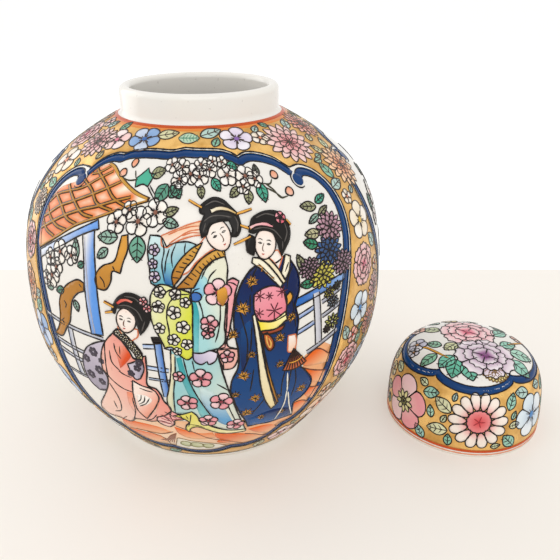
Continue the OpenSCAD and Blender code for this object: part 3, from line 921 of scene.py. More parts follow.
# ---------------------------------------------------------------- The front panel: the three women
# Three women in patterned kimono, in flat enamel washes under fine black lines, with gilt patterns
# and hairpins. Their heads share one calm, plain face, drawn on even proportions.
robes = Coat(on_jar)
HAIR, HAIR_SHINE = rgb("191615"), rgb("5a5552")
SKIN, SKIN_LINE = rgb("f8efe6"), rgb("d9794e")
GOLD_PAINT, GOLD_DEEP = rgb("e3a23a"), rgb("a8702a")
NAVY, NAVY_BRIGHT = rgb("0a1f52"), rgb("0d447f")
LIME, LIME_PALE, AQUA, AQUA_DEEP = rgb("dbe04c"), rgb("f0f0c4"), rgb("a9d9dc"), rgb("3aa7ae")
ROSE, CORAL, LILAC, IVORY = rgb("f0a3ac"), rgb("f4bcae"), rgb("b9b1cf"), rgb("f6efd6")


def strokes(coat, level, width, colour, *texts):
    """Open brush lines, each given by its points."""
    for text in texts:
        coat.line(drawn(text, False, 0.7), colour, level, width, taper=0.35)


def face(coat, x, y, turn, height, level, way=1):
    """A plain face on even proportions in an oval as tall as height: eyes half way down, the nose
    three quarters and the mouth five sixths of the way, each eye a fifth of the width. way is the
    side that it turns to."""
    a = np.linspace(0, 2 * np.pi, 40, endpoint=False)
    oval = np.c_[0.39 * np.cos(a) * (1 - 0.16 * np.clip(-np.sin(a), 0, 1) ** 2), 0.5 * np.sin(a)] * height
    oval = seated(oval, x, y, turn)
    coat.shape(oval, bloom(SKIN, rgb("fbe3d6"), (x, y), height * 0.5, 0.4), level, 1.4, width=0.4)

    def mark(points, colour, width):
        path = seated(bow(np.array(points) * (way * height, height), height * 0.035), x, y, turn)
        coat.line(path, colour, level + 1.6, width, taper=0.3)

    for side_x in (-0.12, 0.2):
        mark([(side_x - 0.08, -0.005), (side_x - 0.01, 0.022), (side_x + 0.075, 0.0)], INK, 0.42)
        mark([(side_x - 0.06, -0.012), (side_x, -0.02), (side_x + 0.055, -0.012)], INK, 0.22)
        mark([(side_x - 0.085, 0.105), (side_x, 0.135), (side_x + 0.085, 0.11)], INK, 0.3)
    mark([(0.055, 0.02), (0.085, -0.16), (0.06, -0.235), (0.01, -0.245)], rgb("6b4434"), 0.26)
    mark([(-0.005, -0.328), (0.045, -0.336), (0.095, -0.328)], rgb("b8322a"), 0.5)
    mark([(0.02, -0.352), (0.045, -0.358), (0.07, -0.352)], rgb("cf5a48"), 0.5)


def maple(coat, x, y, size, turn, level):
    """A gilt maple leaf of seven points about x, y: the middle one as long as size, falling to 0.86
    of it at the sides, with notches at 0.42 of it and an ink vein to each point."""
    a = np.radians(np.arange(-150, 151, 300 / 14))
    r = size * np.where(np.arange(15) % 2 == 1, 1.0 - 0.16 * np.abs(np.arange(15) - 7) / 7, 0.42)
    loop = seated(np.vstack([np.c_[r * np.cos(a), r * np.sin(a)], [(-size * 0.35, 0)]]), x, y, turn)
    coat.fill(loop, bloom(GOLD_PAINT, GOLD_DEEP, (x, y), size, 0.3), level, 1.6)
    for i in range(1, 15, 2):
        tip = seated([(r[i] * 0.95 * math.cos(a[i]), r[i] * 0.95 * math.sin(a[i]))], x, y, turn)[0]
        coat.line(bow([(x, y), tip], 0.9), INK, level + 1, 0.26, taper=0.6)


def dot_flower(coat, x, y, count, turn, reach, radius, colour, level, grain):
    """A plain flower of round dots, each at reach from x, y."""
    for a in np.radians(turn + 360 / count * np.arange(count)):
        dot = seated(disc(radius, 8), x + reach * math.cos(a), y + reach * math.sin(a))
        coat.fill(dot, colour, level, grain)


# The standing woman in the pale blue kimono: raised arm, neck, robe, sash and train.
robes.shape(drawn("-9,50.6! -3,53 4,55.4 8.6,56.4! 10,51! 4,50.4 -2,48.6 -6.4,46! -8.4,46.4"),
            wash(rgb("f6c9a4"), SKIN, (-4, 53), (-3, 47)), 5, 1.5, SKIN_LINE, 0.35)
strokes(robes, 6.4, 0.34, SKIN_LINE, "-6,51 -1,53 4,54.2 7.6,54.4", "-5.6,47.6 -1,50.4 3,52.4 7.6,53",
        "0,50.6 4,51.8 7.6,51.6")
robes.shape(drawn("-14,50.6! -9,50 -6.6,46.4! -4,47.6 -1,48.2 3,48.2 6.4,46.4 5.6,43.6! 1.5,41 -2,37"
                  " -3.4,32.4! -3.2,30! -10,30.6 -13,32! -13.6,38 -14.6,45"),
            wash(rgb("cfe9ec"), rgb("4fa9c0"), (-10, 48), (-3, 33)), 5, 1.5)
strokes(robes, 6.4, 0.42, INK, "-9,50 -7.6,45 -8.4,40 -7.4,33", "-5.4,45.6 -6.8,40.6 -7.2,36",
        "-2.6,47.6 -4.4,43 -4,38.4", "1.4,47.8 1,44 2,42", "-11.6,48 -12,42 -11.2,36")
robes.fill(drawn("-7,40! -4.4,40 -2.4,35.6 -3.4,31.6! -7,32 -8,36"),
           wash(rgb("2f6fae"), rgb("8fd0d8"), (-7, 33), (-4, 40)), 6, 1.4)
robes.shape(drawn("9.6,50! 6.4,46.4 3.6,42.6 1.4,39.4 -0.6,35.4! 2,36.6 5.4,40.2 9.6,43.4 14.6,46!  14,49"),
            SKIN, 5.4, 1.6, SKIN_LINE, 0.35)
robes.shape(drawn("3.4,31! 7,36.6 12,41 17.4,42.6! 18.2,38 17.6,33 17.4,26 16.8,18 16,10 15.4,4.4! 9,3"
                  " 5.4,-0.6 2.2,0.6! 2.4,12 2,22"), wash(AQUA, rgb("e9e8d2"), (4, 20), (16.5, 24)), 5, 1.6)
robes.fill(drawn("2.6,28! 4.4,25.6 5.8,20 5.4,12 4.8,3! 2.6,3.4! 2.6,14"),
           wash(AQUA_DEEP, rgb("7cc9cf"), (2.6, 20), (6, 6)), 6.2, 1.6)
robes.fill(drawn("7,36! 9.6,34 9,29 6.4,26 4.2,29 5.2,33"), wash(rgb("78b8e0"), AQUA, (4.6, 30), (9, 32)),
           6.2, 1.4)
robes.shape(drawn("17.4,32.4! 20,33.4 22.4,32! 20.8,28 19.4,21 17.8,13 16.8,4.6 20.6,2.8! 20.4,-2 18,-6"
                  " 14.6,-6.2! 13,-1 12.4,3.4 15.2,6.4 15.6,14 16.8,24"),
            wash(ROSE, CORAL, (18, 30), (16, -4)), 6, 1.6)
strokes(robes, 7.4, 0.4, INK, "17.8,32.8 17.2,25 16.4,14 15.6,7", "7.4,34 9.6,38 13,41",
        "9.4,31 11,35 13.6,37.4", "14.4,24 14,17 12.6,10 11.6,7", "5.4,26.6 7,21.6 7.4,15 7,8.6",
        "2.8,26 4.4,29.6 6.6,30.2", "12.4,3.4 17,3.6 20.8,2.8", "18,32 20,31.4 21.6,30",
        "14.6,-5.8 14.2,-2 12.8,0.6")
for text, start, end in (("-3.8,31! -4.4,35 -2.4,39.6 0.6,43 4,45.8 8.6,48! 6.4,44.6 4.6,41.6 1.2,38.2"
                          " -0.8,34.6!", (-3, 33), (6, 47)),
                         ("-3.2,30! 0.2,33.4 3.4,36.8 6.6,40.6 11.6,44 17.4,45.6! 17.6,42.2! 12.4,40.8"
                          " 8.4,37.6 6.2,33.6 4.2,30.4!", (0, 31), (15, 44))):
    robes.shape(drawn(text), wash(rgb("b5772c"), rgb("d9a64a"), start, end), 7, 1.4, width=0.45)
for i in range(11):
    t = i / 10
    robes.line(bow([(0.4 + 15.6 * t, 32.8 + 12 * t ** 0.75), (2.6 + 14.6 * t, 31.6 + 11 * t ** 0.75)], 0.8),
               INK, 8.5, 0.34)
for i in range(8):
    t = i / 7
    robes.line(bow([(-4 + 9.4 * t, 34.6 + 11.4 * t ** 0.8), (-1.6 + 8.4 * t, 34.4 + 10.8 * t ** 0.8)], 0.8),
               INK, 8.5, 0.4)
train = drawn("-6.4,4! -7,-6 -8.6,-15 -10.6,-23.4 -9.6,-31.6! -5,-32 -0.4,-30.6! 1.6,-35 4,-38.6 9,-43"
              " 15,-47.6 25.6,-50.6! 23,-42 20,-32 17.4,-22 14.8,-11 12.6,2! 9,2 5.4,-1.6 2.4,0.6"
              " -1.6,1.6!")
robes.shape(train, wash(rgb("9fd2d6"), rgb("dfe6d8"), (-2, -14), (17, -26)), 5, 2.0)
robes.fill(drawn("-4.4,0! -2.4,0.6! -0.4,-10 3.4,-22 7.6,-33 9.6,-37! 6,-37 1.6,-26 -2.4,-13"),
           wash(AQUA_DEEP, rgb("86c8cc"), (-3, -4), (7, -34)), 6.1, 2.0)
robes.fill(drawn("4,-14! 9.6,-18 13.4,-26 17.6,-38 20.6,-46! 13,-41 7.6,-31 4.4,-22"),
           wash(rgb("5fa4d6"), rgb("cfe4e2"), (9, -36), (15, -20)), 6.1, 2.0)
robes.fill(drawn("-6.6,2! -5,2! -5.8,-8 -7.4,-18 -8.4,-30! -9.4,-30.4! -10.4,-23 -8.4,-14"),
           wash(rgb("efe6c4"), rgb("dfe2c0"), (-6, 0), (-9, -30)), 6.1, 2.0)
strokes(robes, 7, 0.42, INK, "-4.8,1 -5.4,-8 -7,-18 -8,-31", "-1.6,0 0.4,-12 4.4,-24 8.4,-34",
        "12.4,1 14,-8 17,-20", "11.4,-13.4 14,-15.6 16.6,-18", "2,-1 2.6,-6", "14.6,-22 17,-31 20,-41")
robes.shape(drawn("-9.4,-33.4! -5.2,-32.2 -0.4,-30! 1.4,-32.6 2.6,-36.6 6,-41 10.6,-45 16,-48 25.6,-50!"
                  " 25.8,-52! 19,-52.2 12,-50.6 7.6,-47.6 4.2,-44.8 0.6,-42.8 -2.6,-44.6 -3.6,-48.2! -5,-46"
                  " -4.4,-42 -2.6,-38.6 -5,-35.6"),
            wash(rgb("e9df62"), rgb("f6f0c2"), (-4, -34), (22, -51)), 7, 1.6)
strokes(robes, 8.4, 0.36, INK, "-3.4,-33 -2.6,-36", "-1,-32 -2,-37.4 -3.4,-42.6",
        "-3,-40.4 0.6,-41.2 4.4,-43.6")
robes.shape(drawn("2.4,2.6! 3,-1.4 5.6,-3 8,-1.6! 8.4,-3 11,-2 12.6,2! 9.4,3.4 6.4,2.4"),
            wash(LILAC, rgb("e9dff0"), (4, -2), (11, 2)), 7, 1.4)
obi = drawn("-13.6,22! -13,27.6 -9.6,31.6 -6,31.4 -3,30.2 0,29.6 3,28.4! 3.4,22 3,14 2.8,8 2.4,1! 0.4,-0.6"
            " -3,1.6 -6,5.2 -8.6,4.6! -9.8,8 -12,12.6 -13.4,17")
robes.shape(obi, wash(LIME_PALE, LIME, (-13, 22), (1, 18)), 7, 1.8)
strokes(robes, 8.4, 0.45, INK, "2.4,28 -2,27.6 -5.6,24.6 -7,19 -6.4,12 -6.8,6",
        "-12.6,27.8 -8.4,27.6 -5.4,29.6 -3,30", "-13.4,22 -10,23.4 -7.4,22")
for x, y, size, turn in ((-9.4, 28.6, 2.4, 0), (-3.2, 28, 2.4, 30), (-10.2, 22.6, 2.6, 10),
                         (-4, 20.4, 2.8, 40), (-0.8, 14.2, 2.8, 0), (-10.2, 13.4, 2.4, 20),
                         (-4.8, 8.6, 2.6, 0), (0.4, 6.6, 2.4, 50), (0.6, 24.6, 2.2, 0),
                         (-3.6, 3.4, 1.8, 30)):
    blossom(robes, x, y, size, rgb("f7f2e4"), INK, 8.4, turn, width=0.36)
for x, y, size, turn in ((-11.8, 45, 2.3, 0), (-12.2, 39.6, 2.0, 30), (-11.4, 34.6, 2.3, 60)):
    blossom(robes, x, y, size, rgb("d8c6de"), rgb("5b4a7c"), 7.6, turn, width=0.36)
for x, y, size, turn in ((13.6, 28.2, 5.6, 10), (9.6, 15.4, 3.6, 0), (9, 11.4, 2.6, 40), (5, -10, 4.8, 20),
                         (13, -24, 5.2, 0), (-1.6, -24, 4.6, 30), (6.6, -37.4, 4.6, 15),
                         (19.6, -43, 4.6, 0), (-4, -9, 2.6, 0), (16.2, 0, 3.0, 20)):
    blossom(robes, x, y, size, ROSE, rgb("8c3440"), 7.6, turn, width=0.4)
robes.fill(drawn("13.4,29! 16.6,30.2 17.4,26.4 15.4,22.4! 13.6,24.6"),
           wash(GOLD_PAINT, GOLD_DEEP, (14, 29), (16, 23)), 11, 1.4)
robes.shape(seated(disc(2.4, 14, 0.8), 4.8, 26.8), rgb("3f6fb8"), 8, 1.2, width=0.36)

# The woman in the navy kimono with gilt maple leaves, her sash, cords, fan and ribbons.
robes.shape(drawn("30.4,37.6! 27,35.4 23.4,31 20.8,25 19.4,17 19.8,8 20.8,2 20.4,-6 17.6,-13 17,-18! 19,-26"
                  " 21.6,-34 24.4,-41 26.4,-47.6! 32,-47.4 38,-48.6! 46,-48.2 52.6,-48.6! 50.6,-42"
                  " 49.4,-36! 53.4,-33.6 56.4,-29.4 57,-24.4 53,-17.4 48.8,-12.4! 46.2,-6 46.6,4 47.4,11"
                  " 46,18! 48.4,24 48.6,30.6 46,36.4 43.4,39.4! 38,37 33,38.4"),
            wash(NAVY, NAVY_BRIGHT, (40, 20), (20, -10)), 5.4, 2.0)
robes.fill(drawn("27,-40! 32,-37.6 38,-36.6 46,-38.6 50,-42! 51,-47.8! 40,-47.6 27.4,-46.6!"),
           wash(rgb("1f5c9c"), NAVY, (34, -46), (38, -37)), 6.5, 2.0)
robes.fill(drawn("22,12! 25.6,15 26.6,8 25,-2 22,-9! 21.6,0"), wash(NAVY_BRIGHT, NAVY, (23, 10), (24, -6)),
           6.5, 1.8)
strokes(robes, 7, 0.42, INK, "30.4,37 27.4,31 27.4,27", "46.6,35 43.6,30 42.6,26",
        "20.8,24 23,15 24.6,6 24,-4", "26.6,26 26,18", "26.6,12 25.4,0 22.4,-9",
        "44.4,-12.6 44,-18 43.6,-25", "46.4,-13 47.4,-20 46.6,-30", "41.4,-12 40.4,-19 40.8,-27",
        "45,20 46,8", "27,-8 25.6,-20", "33,-26 27.4,-36")
robes.shape(drawn("33,41.6! 37,38.6 39.6,34.4! 42,38.8! 40.4,42!"), SKIN, 6, 1.4, SKIN_LINE, 0.34)
robes.shape(drawn("28.4,38.6! 29,40.6! 31.6,40 35.6,36.4 38.8,31.8 41,28.4! 39.8,26.8! 36.4,30.6 32.6,35"),
            IVORY, 7, 1.4)
robes.shape(drawn("31.4,40.6! 33.4,41.2 37,38 40.6,32.6 42.4,29! 41,28! 38.4,32.6 35,37.2"), rgb("f2e3c0"),
            8, 1.4)
robes.shape(drawn("45.8,38.6! 43.6,39.8! 42,36 40.6,32.4! 42,29.4! 44.4,33"), IVORY, 7, 1.4)
strokes(robes, 8.4, 0.36, INK, "31,38 34.6,34 37.4,30.6", "44.6,36.4 42.4,32.8")
strokes(robes, 8.6, 0.6, GOLD_DEEP, "30.6,37.4 32.6,36.2 32,34.6", "33.6,34 35,33.4", "36,31.4 37.4,31.6")
robes.shape(drawn("28.2,25.6! 31,27.4 36,28.2 40.6,26.6! 42.2,22 41.8,17 41.4,14.6! 36,13 30,14!"
                  " 28.4,17 27.8,21"), wash(rgb("f0a0ac"), rgb("e98090"), (30, 26), (38, 14)), 7, 1.6)
for x, y, size, turn in ((36.4, 17.6, 3.6, 10), (40.2, 25, 2.6, 60), (30.4, 24.8, 2.4, 20),
                         (29.8, 17.6, 2.2, 80), (34.6, 24.2, 1.8, 0)):
    for i in range(7):
        a = math.radians(turn + 51.4 * i)
        tip = (x + size * math.cos(a), y + size * math.sin(a))
        robes.line(bow([(x, y), tip], 0.7), rgb("5e2230"), 8.6, 0.8, taper=0.5)
robes.shape(drawn("29,14.8! 35,13.4 41.8,16.4! 42,12.6! 36.4,9.4 30,9.6!"),
            wash(rgb("f6e23c"), rgb("fbf2b4"), (30, 12), (41, 14)), 8, 1.4)
robes.shape(drawn("41.2,24! 42.4,23 43.8,24.2 45,22.4 43.4,19.4 42.2,18.6!"), GOLD_PAINT, 8, 1.2)
robes.shape(drawn("30,9.8! 36,9.4 41,10.6! 40,8.8 36,7.6 31,8!"), rgb("a3492a"), 8, 1.4)
robes.shape(drawn("31.4,8.2! 33,8.4! 35.6,4.4 35.8,1 34,-0.4 32.4,1.6 31.6,5"),
            wash(rgb("c8682f"), rgb("8a3a20"), (32, 7), (35, 0)), 8.6, 1.2)
robes.line(drawn("32.6,7 33,3.6 34.2,1.2 34.6,3 33.6,5.8", False), rgb("e9b45a"), 10.2, 0.5)
robes.shape(drawn("27,17! 28.2,17.6! 29.8,9 31.2,0 32.8,-10 35.4,-21 39.4,-32.4! 36.8,-35.2! 33.2,-28"
                  " 30.4,-18 29,-6 28.2,5"), wash(IVORY, rgb("efdca8"), (28, 10), (36, -30)), 8, 1.6)
robes.shape(drawn("29,13.6! 30.4,8 31.6,0 33.4,-9 36.4,-20 40,-31! 38.6,-32.8! 35.4,-22 32.4,-10 30.8,0"),
            wash(GOLD_PAINT, GOLD_DEEP, (30, 8), (38, -30)), 8.4, 1.6, width=0.4)
for x, y, size, turn in ((27.8, 31, 3.4, 100), (23.2, 20.4, 4.2, 60), (18.8, 9.6, 3.4, 100),
                         (26.2, -0.8, 2.8, 80), (22.6, -10.8, 3.8, 60), (19.2, -21, 2.8, 90),
                         (28, -25, 3.6, 50), (24.8, -34.6, 4.2, 100), (51.4, -27, 3.8, 70),
                         (38.6, 4.6, 3.4, 80), (44.2, 12.8, 3.2, 120), (39, -27.4, 2.6, 50),
                         (38.8, -8.4, 2.8, 100), (43.4, -40.6, 3.0, 80), (32.4, -40.6, 3.2, 40)):
    maple(robes, x, y, size, turn, 7.2)
robes.shape(drawn("42.4,4.8! 45.8,4.6! 46.4,1 45.4,-3.4! 42.6,-3.2 42.2,0.6"),
            wash(SKIN, rgb("f6c8a8"), (43, 4), (45, -3)), 7.4, 1.3, SKIN_LINE, 0.34)
FAN_PIN, FAN_R, FAN_RIB_R = (45, -2), 11, 7
fan = [FAN_PIN] + [tuple(tip) for tip in arc(FAN_PIN, FAN_R, -116, -52, 9)]
robes.shape(straight_sided(fan, 1.5), wash(rgb("7e3a22"), rgb("c8693f"), (45, -3), (47, -12)), 8, 1.6)
for tip in fan[1:]:
    robes.line(bow([fan[0], tip], 1.2), rgb("2a1410"), 9.4, 0.45, taper=0.8)
robes.line(bow(arc(FAN_PIN, FAN_RIB_R, -108, -48, 6), 0.8), GOLD_PAINT, 9.8, 0.4)
for text in ("43.4,-25 43.6,-34 41.2,-46.6", "44.2,-26 46.8,-36 51.4,-47", "42.6,-14 43,-19 43.6,-25"):
    robes.line(drawn(text, False), INK, 7.6, 0.95)
    robes.line(drawn(text, False), rgb("efece0"), 8.4, 0.5)

# The kneeling woman in the rose kimono, with her grey sash and patterned collar.
robes.shape(drawn("-35.6,4! -41,1.6 -45.6,-1.6 -49,-7 -50.4,-14 -49,-21 -45,-25! -40.6,-23.4 -37.4,-17"
                  " -36.6,-8"), wash(rgb("c9c0cf"), rgb("a79fb0"), (-38, 0), (-48, -18)), 5, 1.8)
for x, y, size in ((-42.4, -3, 2.6), (-47, -7.6, 2.2), (-41, -12, 2.6), (-46.6, -16, 2.6),
                   (-41.2, -18.6, 2.2), (-38.8, -6.6, 1.7)):
    dot_flower(robes, x, y, 6, x * 7, size * 0.55, size * 0.42, rgb("473f4c"), 6.4, 1.2)
robes.shape(drawn("-31,8.6! -34,5.4 -36.8,1 -38.6,-5 -39,-10.6! -37.4,-15 -39,-21 -42.6,-27 -46,-31.6"
                  " -50,-37 -52.4,-42.6 -50,-46.4! -42,-45.4 -35.6,-45.8 -31,-41.4! -27.4,-40.6! -22,-40.8"
                  " -16,-39 -10.4,-41 -11,-34! -9.6,-28 -12,-24 -12.8,-20! -14.6,-16.6 -17.6,-15.6 -17.4,-8"
                  " -17.2,0! -19.6,-1 -22.4,-2 -24,1! -27,5.4"),
            wash(rgb("f7cdbc"), rgb("f09a8c"), (-38, -30), (-14, -20)), 5.4, 2.0)
robes.fill(drawn("-31,2! -26,3.4 -23.6,-0.6 -26,-4.4 -29.4,-8! -30,-3"),
           wash(rgb("e2521e"), rgb("f5b49e"), (-26, -2), (-31, 1)), 6.5, 1.5)
robes.fill(drawn("-16.6,-18! -14.4,-21 -15,-27 -18,-33! -19.6,-28 -17.6,-23"),
           wash(rgb("e8642c"), rgb("f7c4ae"), (-15.6, -20), (-19, -31)), 6.5, 1.5)
robes.fill(drawn("-29,-21! -25.4,-21 -26,-30 -29,-37! -30,-29"),
           wash(rgb("f0906e"), rgb("f7c4b4"), (-27, -22), (-29, -36)), 6.5, 1.6)
robes.shape(drawn("-30.6,9.4! -28.4,11 -24.6,8.6 -21,4.6 -18.6,1! -18.8,-2 -20.8,-1.8! -22,0.6 -25.4,4.6"),
            wash(rgb("f4eccd"), rgb("dcd49c"), (-28, 9), (-20, 0)), 7, 1.3)
for x, y in ((-28.6, 9.2), (-26.4, 7.8), (-24.6, 6.2), (-23, 4.4), (-21.4, 2.4), (-20.2, 0.4)):
    blossom(robes, x, y, 1.3, rgb("f4eccd"), INK, 8.3, 0, width=0.28)
robes.shape(drawn("-25.6,-5! -22.4,-3.4 -19.6,-1.4 -18.4,-6 -20.6,-11.6! -22.6,-12.6 -24.6,-9"),
            wash(rgb("cfc6d6"), rgb("9b93a8"), (-24, -6), (-19, -6)), 7, 1.3)
for x, y in ((-21.4, -6.4), (-24.6, -9.6), (-20.4, -3.6)):
    dot_flower(robes, x, y, 5, 0, 1.0, 0.85, rgb("3d3542"), 8.4, 1.0)
robes.shape(drawn("-24.6,-13.4! -20.6,-15.6 -17,-16.6 -15,-18! -14,-21 -16,-27 -20,-33.6 -23.6,-39!"
                  " -26.4,-33 -26.2,-26 -25.6,-19"),
            wash(rgb("fbe9de"), rgb("f2a58c"), (-24, -20), (-16, -26)), 7.4, 1.5)
robes.fill(drawn("-24.4,-21! -19.4,-21.4 -17.6,-23 -21,-27.6 -24.6,-28.8!"), rgb("fbf3ea"), 8.6, 1.4)
strokes(robes, 9.6, 0.42, INK, "-22,-21 -23,-24.4 -24.6,-26", "-20.4,-21.6 -21.4,-25 -24.4,-27.6",
        "-18.4,-22.6 -21,-26.6 -24.4,-29", "-22,-17 -19,-18 -16.4,-18.4")
strokes(robes, 7, 0.42, INK, "-30.6,-9.6 -28,-11 -24.8,-12", "-38.6,-11 -35,-15.6 -30,-19.4 -25.8,-20.4",
        "-37,-18 -34.8,-25 -35.2,-32 -37.6,-37 -42,-39.4", "-31,4 -30.4,0 -28.4,-3", "-28.4,3 -28.6,-1",
        "-33.6,0 -33,-6 -29.6,-9.6", "-25.6,-14 -22.6,-16", "-27,-24 -28,-33 -33,-44.6",
        "-36,-41.6 -40,-45", "-38.6,-30 -39,-36", "-17.4,-34 -21,-38.6 -24,-40.2",
        "-15.4,-33.6 -12.4,-37 -11,-40", "-13,-31 -8,-35.6")
robes.shape(drawn("-17.6,-36! -13,-33.6 -9.6,-30! -6,-33.6 -5,-36.6! -9.4,-37.6 -10,-41 -13,-44!"
                  " -16.4,-42.4 -18.4,-39"), wash(rgb("f5a8a6"), rgb("f9d3c8"), (-12, -33), (-14, -43)),
            6.6, 1.5)
strokes(robes, 8, 0.4, rgb("a5444a"), "-14.6,-33.6 -11,-36.4 -5.6,-35.6", "-16,-36 -12.4,-38 -10,-38",
        "-17,-39 -13.6,-40.6 -10.6,-41")

# The heads: neck, face, hair in rolls over a band, combs and gilt pins.
face(robes, 15.4, 50.6, 24, 13.2, 10)
face(robes, 35.2, 45.2, -16, 12.2, 10, -1)
robes.shape(drawn("-28.4,12! -25.6,8 -22.6,6.4! -19.6,9 -19.4,12!"), SKIN, 6.6, 1.3, SKIN_LINE, 0.34)
face(robes, -24.2, 15.4, -8, 11.0, 10, -1)
hair_loops = ("8,49.4! 7.4,54 9.4,58.6! 7.6,59.4 7.4,61.6 10.4,64.4 15,66 19.4,64.6 22.6,61.4 25,58.8!"
              " 25.8,55.6 25.6,52 23.4,49.2 20.4,49.4! 21.4,52.4 20.4,55.6! 16.4,55.4 12.6,54.2 10.8,50.6!",
              "30.6,49.6! 28.6,50.6 29.4,52.8! 30.6,55.6 34.6,57.6 40,58.2 44.6,57 47.4,53.6! 48.2,49.4"
              " 46.8,45 44.6,42.4 41.6,39! 41,42 40.6,45.6! 39,48.8 35.6,50.2",
              "-28.2,20! -29.2,17.4 -30.6,18.6 -29.8,21.6! -27.6,25 -24,27.2 -19.6,27 -15.6,24.4 -13.8,20.6"
              " -14,16 -16.4,11.6 -18.4,9.4! -19.4,13 -20.2,17.4! -23.6,20.2")
for loop in hair_loops:
    robes.fill(drawn(loop), HAIR, 11.4, 1.6)
robes.shape(drawn("27,47.6! 28.8,49.6! 30.6,48.4 30.4,44.4 29.6,41.4! 27.2,43"), HAIR, 11.4, 1.3)
strokes(robes, 12.4, 0.34, HAIR_SHINE, "9.4,56 12.6,57.8 17,58 22,57", "9,52 10.2,55.4",
        "23.6,51 24.4,54.6 23.4,57.4", "10.4,62.4 15,64 19.6,62.4", "31,51.4 35.4,51.6 40,50 43,46",
        "33,55.8 38,56.8 43,55.2", "44,44.6 46.2,48.4 46,52", "42.6,42 43.2,45",
        "-27.4,21.4 -23.4,22 -19,20 -17,16", "-24.4,25.6 -20,25.4 -16.6,22.6", "-17.6,11.6 -16,16")
robes.shape(drawn("12.4,60.8! 16,61.8 20.6,61.2 24.6,58.8! 24,57.8! 20,59.6 16,59.8 13,59!"),
            wash(rgb("f4ead0"), rgb("d8b36a"), (14, 61), (24, 58)), 13, 1.3)
robes.shape(drawn("29,52.8! 33,53.8 37.6,53.4 40.6,51.6! 40,50.8! 36,52 32,52.2 29.4,51!"),
            wash(rgb("f7c8c8"), rgb("ef9aa4"), (30, 53), (40, 51)), 13, 1.3)
robes.shape(drawn("-28.4,22.6! -26,24.6 -22.6,25 -20.4,24! -21,23! -24,23.4 -27.4,21.6!"),
            wash(rgb("d8483c"), rgb("ef8a76"), (-28, 23), (-21, 24)), 13, 1.3)
for petal_turn in range(0, 360, 72):
    robes.shape(seated(petal_loop(2.6, 2.6, 0.45, 1.4), 44.6, 54.4, petal_turn),
                wash(rgb("f4a4b0"), rgb("e5697c"), (44, 56), (46, 53)), 13, 1.2, width=0.3)
for x, y, turn in ((-16.4, 24.4, 0), (-14.8, 21.6, 40)):
    blossom(robes, x, y, 1.8, rgb("f0a0a4"), rgb("b03a40"), 13, turn, width=0.3)
for start, end in (((8.8, 61.6), (2.6, 65)), ((24.4, 58.2), (32, 59.6)), ((29.2, 48.8), (21.6, 46.4)),
                   ((30, 51.6), (25.4, 53.6)), ((-29.4, 20.4), (-34, 22)), ((-30, 18.4), (-33.6, 17.4)),
                   ((47.4, 53.2), (49, 50.8))):
    robes.line(bow([start, end], 0.8), rgb("6b3d16"), 12.6, 1.5, taper=0.7)
    robes.line(bow([start, end], 0.8), rgb("e9ac4c"), 13.6, 0.9, taper=0.7)
robes.fire("three_women", enamel, "jar", "enamel")

# ---------------------------------------------------------------- The flower ground of the jar
# Between the panels and round the shoulder the gold is packed with chrysanthemums, peonies, small
# blossoms and leaves. The largest are listed one by one, and the rest fill the room that is left.
PINK_PALE, PEACH_PALE, BLUE_PALE, MINT_PALE, SHELL = (rgb(c)
        for c in ("f6d3cf", "f8cfa8", "8fb0dc", "bcd8bc", "f5ead8"))


def beside(hub):
    """A map on to the jar whose x is true millimetres round from the meridian at u = hub: the
    angle past hub is x over the wall's own radius."""
    def place(xv, out):
        r = np.interp(xv[:, 1], side_run, side[:, 0])
        return on_jar(np.c_[hub + xv[:, 0] * BELLY_R / r, xv[:, 1]], out)
    return place


def peony(coat, x, y, size, colour, heart, level=4, turn=0.0):
    """A peony: three rings of wide petals with waved tips, deepest in colour at their roots."""
    for ring, (count, reach, inner) in enumerate(((7, 1.0, 0.2), (6, 0.7, 0.1), (4, 0.42, 0.0))):
        for i in range(count):
            length, width = size * (reach - inner), size * reach * 5.3 / count
            loop = petal_loop(length, width, 0.42, 1.9, 15, count, size * inner)
            wave = np.cos(loop[:, 1] / (size * reach) * 19) * (loop[:, 0] / (size * reach)) ** 2
            a = turn + 360 / count * (i + 0.5 * ring)
            loop = seated(loop + np.c_[wave * size * reach * 0.075 + size * inner, 0 * wave], x, y, a)
            way = seated([(size * reach, 0)], 0, 0, a)[0]
            shade = wash(heart, colour, (x, y) + way * 0.35, (x, y) + way * 0.95)
            coat.shape(loop, shade, level + 1.3 * ring, 1.7, width=0.38)
    coat.fill(seated(disc(size * 0.1), x, y), heart * 0.7, level + 5, 1.0)


def daisy(coat, x, y, size, colour, heart, level=4, petals=13):
    """A daisy: long round petals, flushed where they meet a wide round heart."""
    for i in range(petals):
        loop = seated(petal_loop(size * 0.62, size * 4.9 / petals, 0.42, 1.5, 9) + (size * 0.38, 0), 0, 0,
                      360 / petals * i) + (x, y)
        coat.shape(loop, bloom(heart, colour, (x, y), size * 0.72, 0.5), level, 1.7, width=0.42)
    coat.shape(seated(disc(size * 0.41, 22), x, y), bloom(rgb("d64a4e"), heart, (x, y), size * 0.4),
               level + 1, 1.8, width=0.5)
    for i in range(5):
        a = math.radians(72 * i)
        coat.line(bow([(x, y), (x + size * 0.2 * math.cos(a), y + size * 0.2 * math.sin(a))], 0.8),
                  rgb("a8323a"), level + 2.4, 0.4)


def flower(coat, y, size, kind):
    """One flower of the ground at height y on the coat's own meridian."""
    colour, heart = FLOWER_TINTS[kind % len(FLOWER_TINTS)]
    if kind % 3 == 0 and size > 6:
        mum(coat, 0, y, size, colour, 3, 1.0, 15, kind * 17, heart * 0.7 + colour * 0.3)
    elif kind % 3 == 1 and size > 5.4:
        peony(coat, 0, y, size, colour, heart, 3, kind * 23)
    else:
        blossom(coat, 0, y, size, colour, heart, 3, kind * 31, 5, 0.38)


LEAF_TRIES, LEAF_ROOM = 1400, 1.5


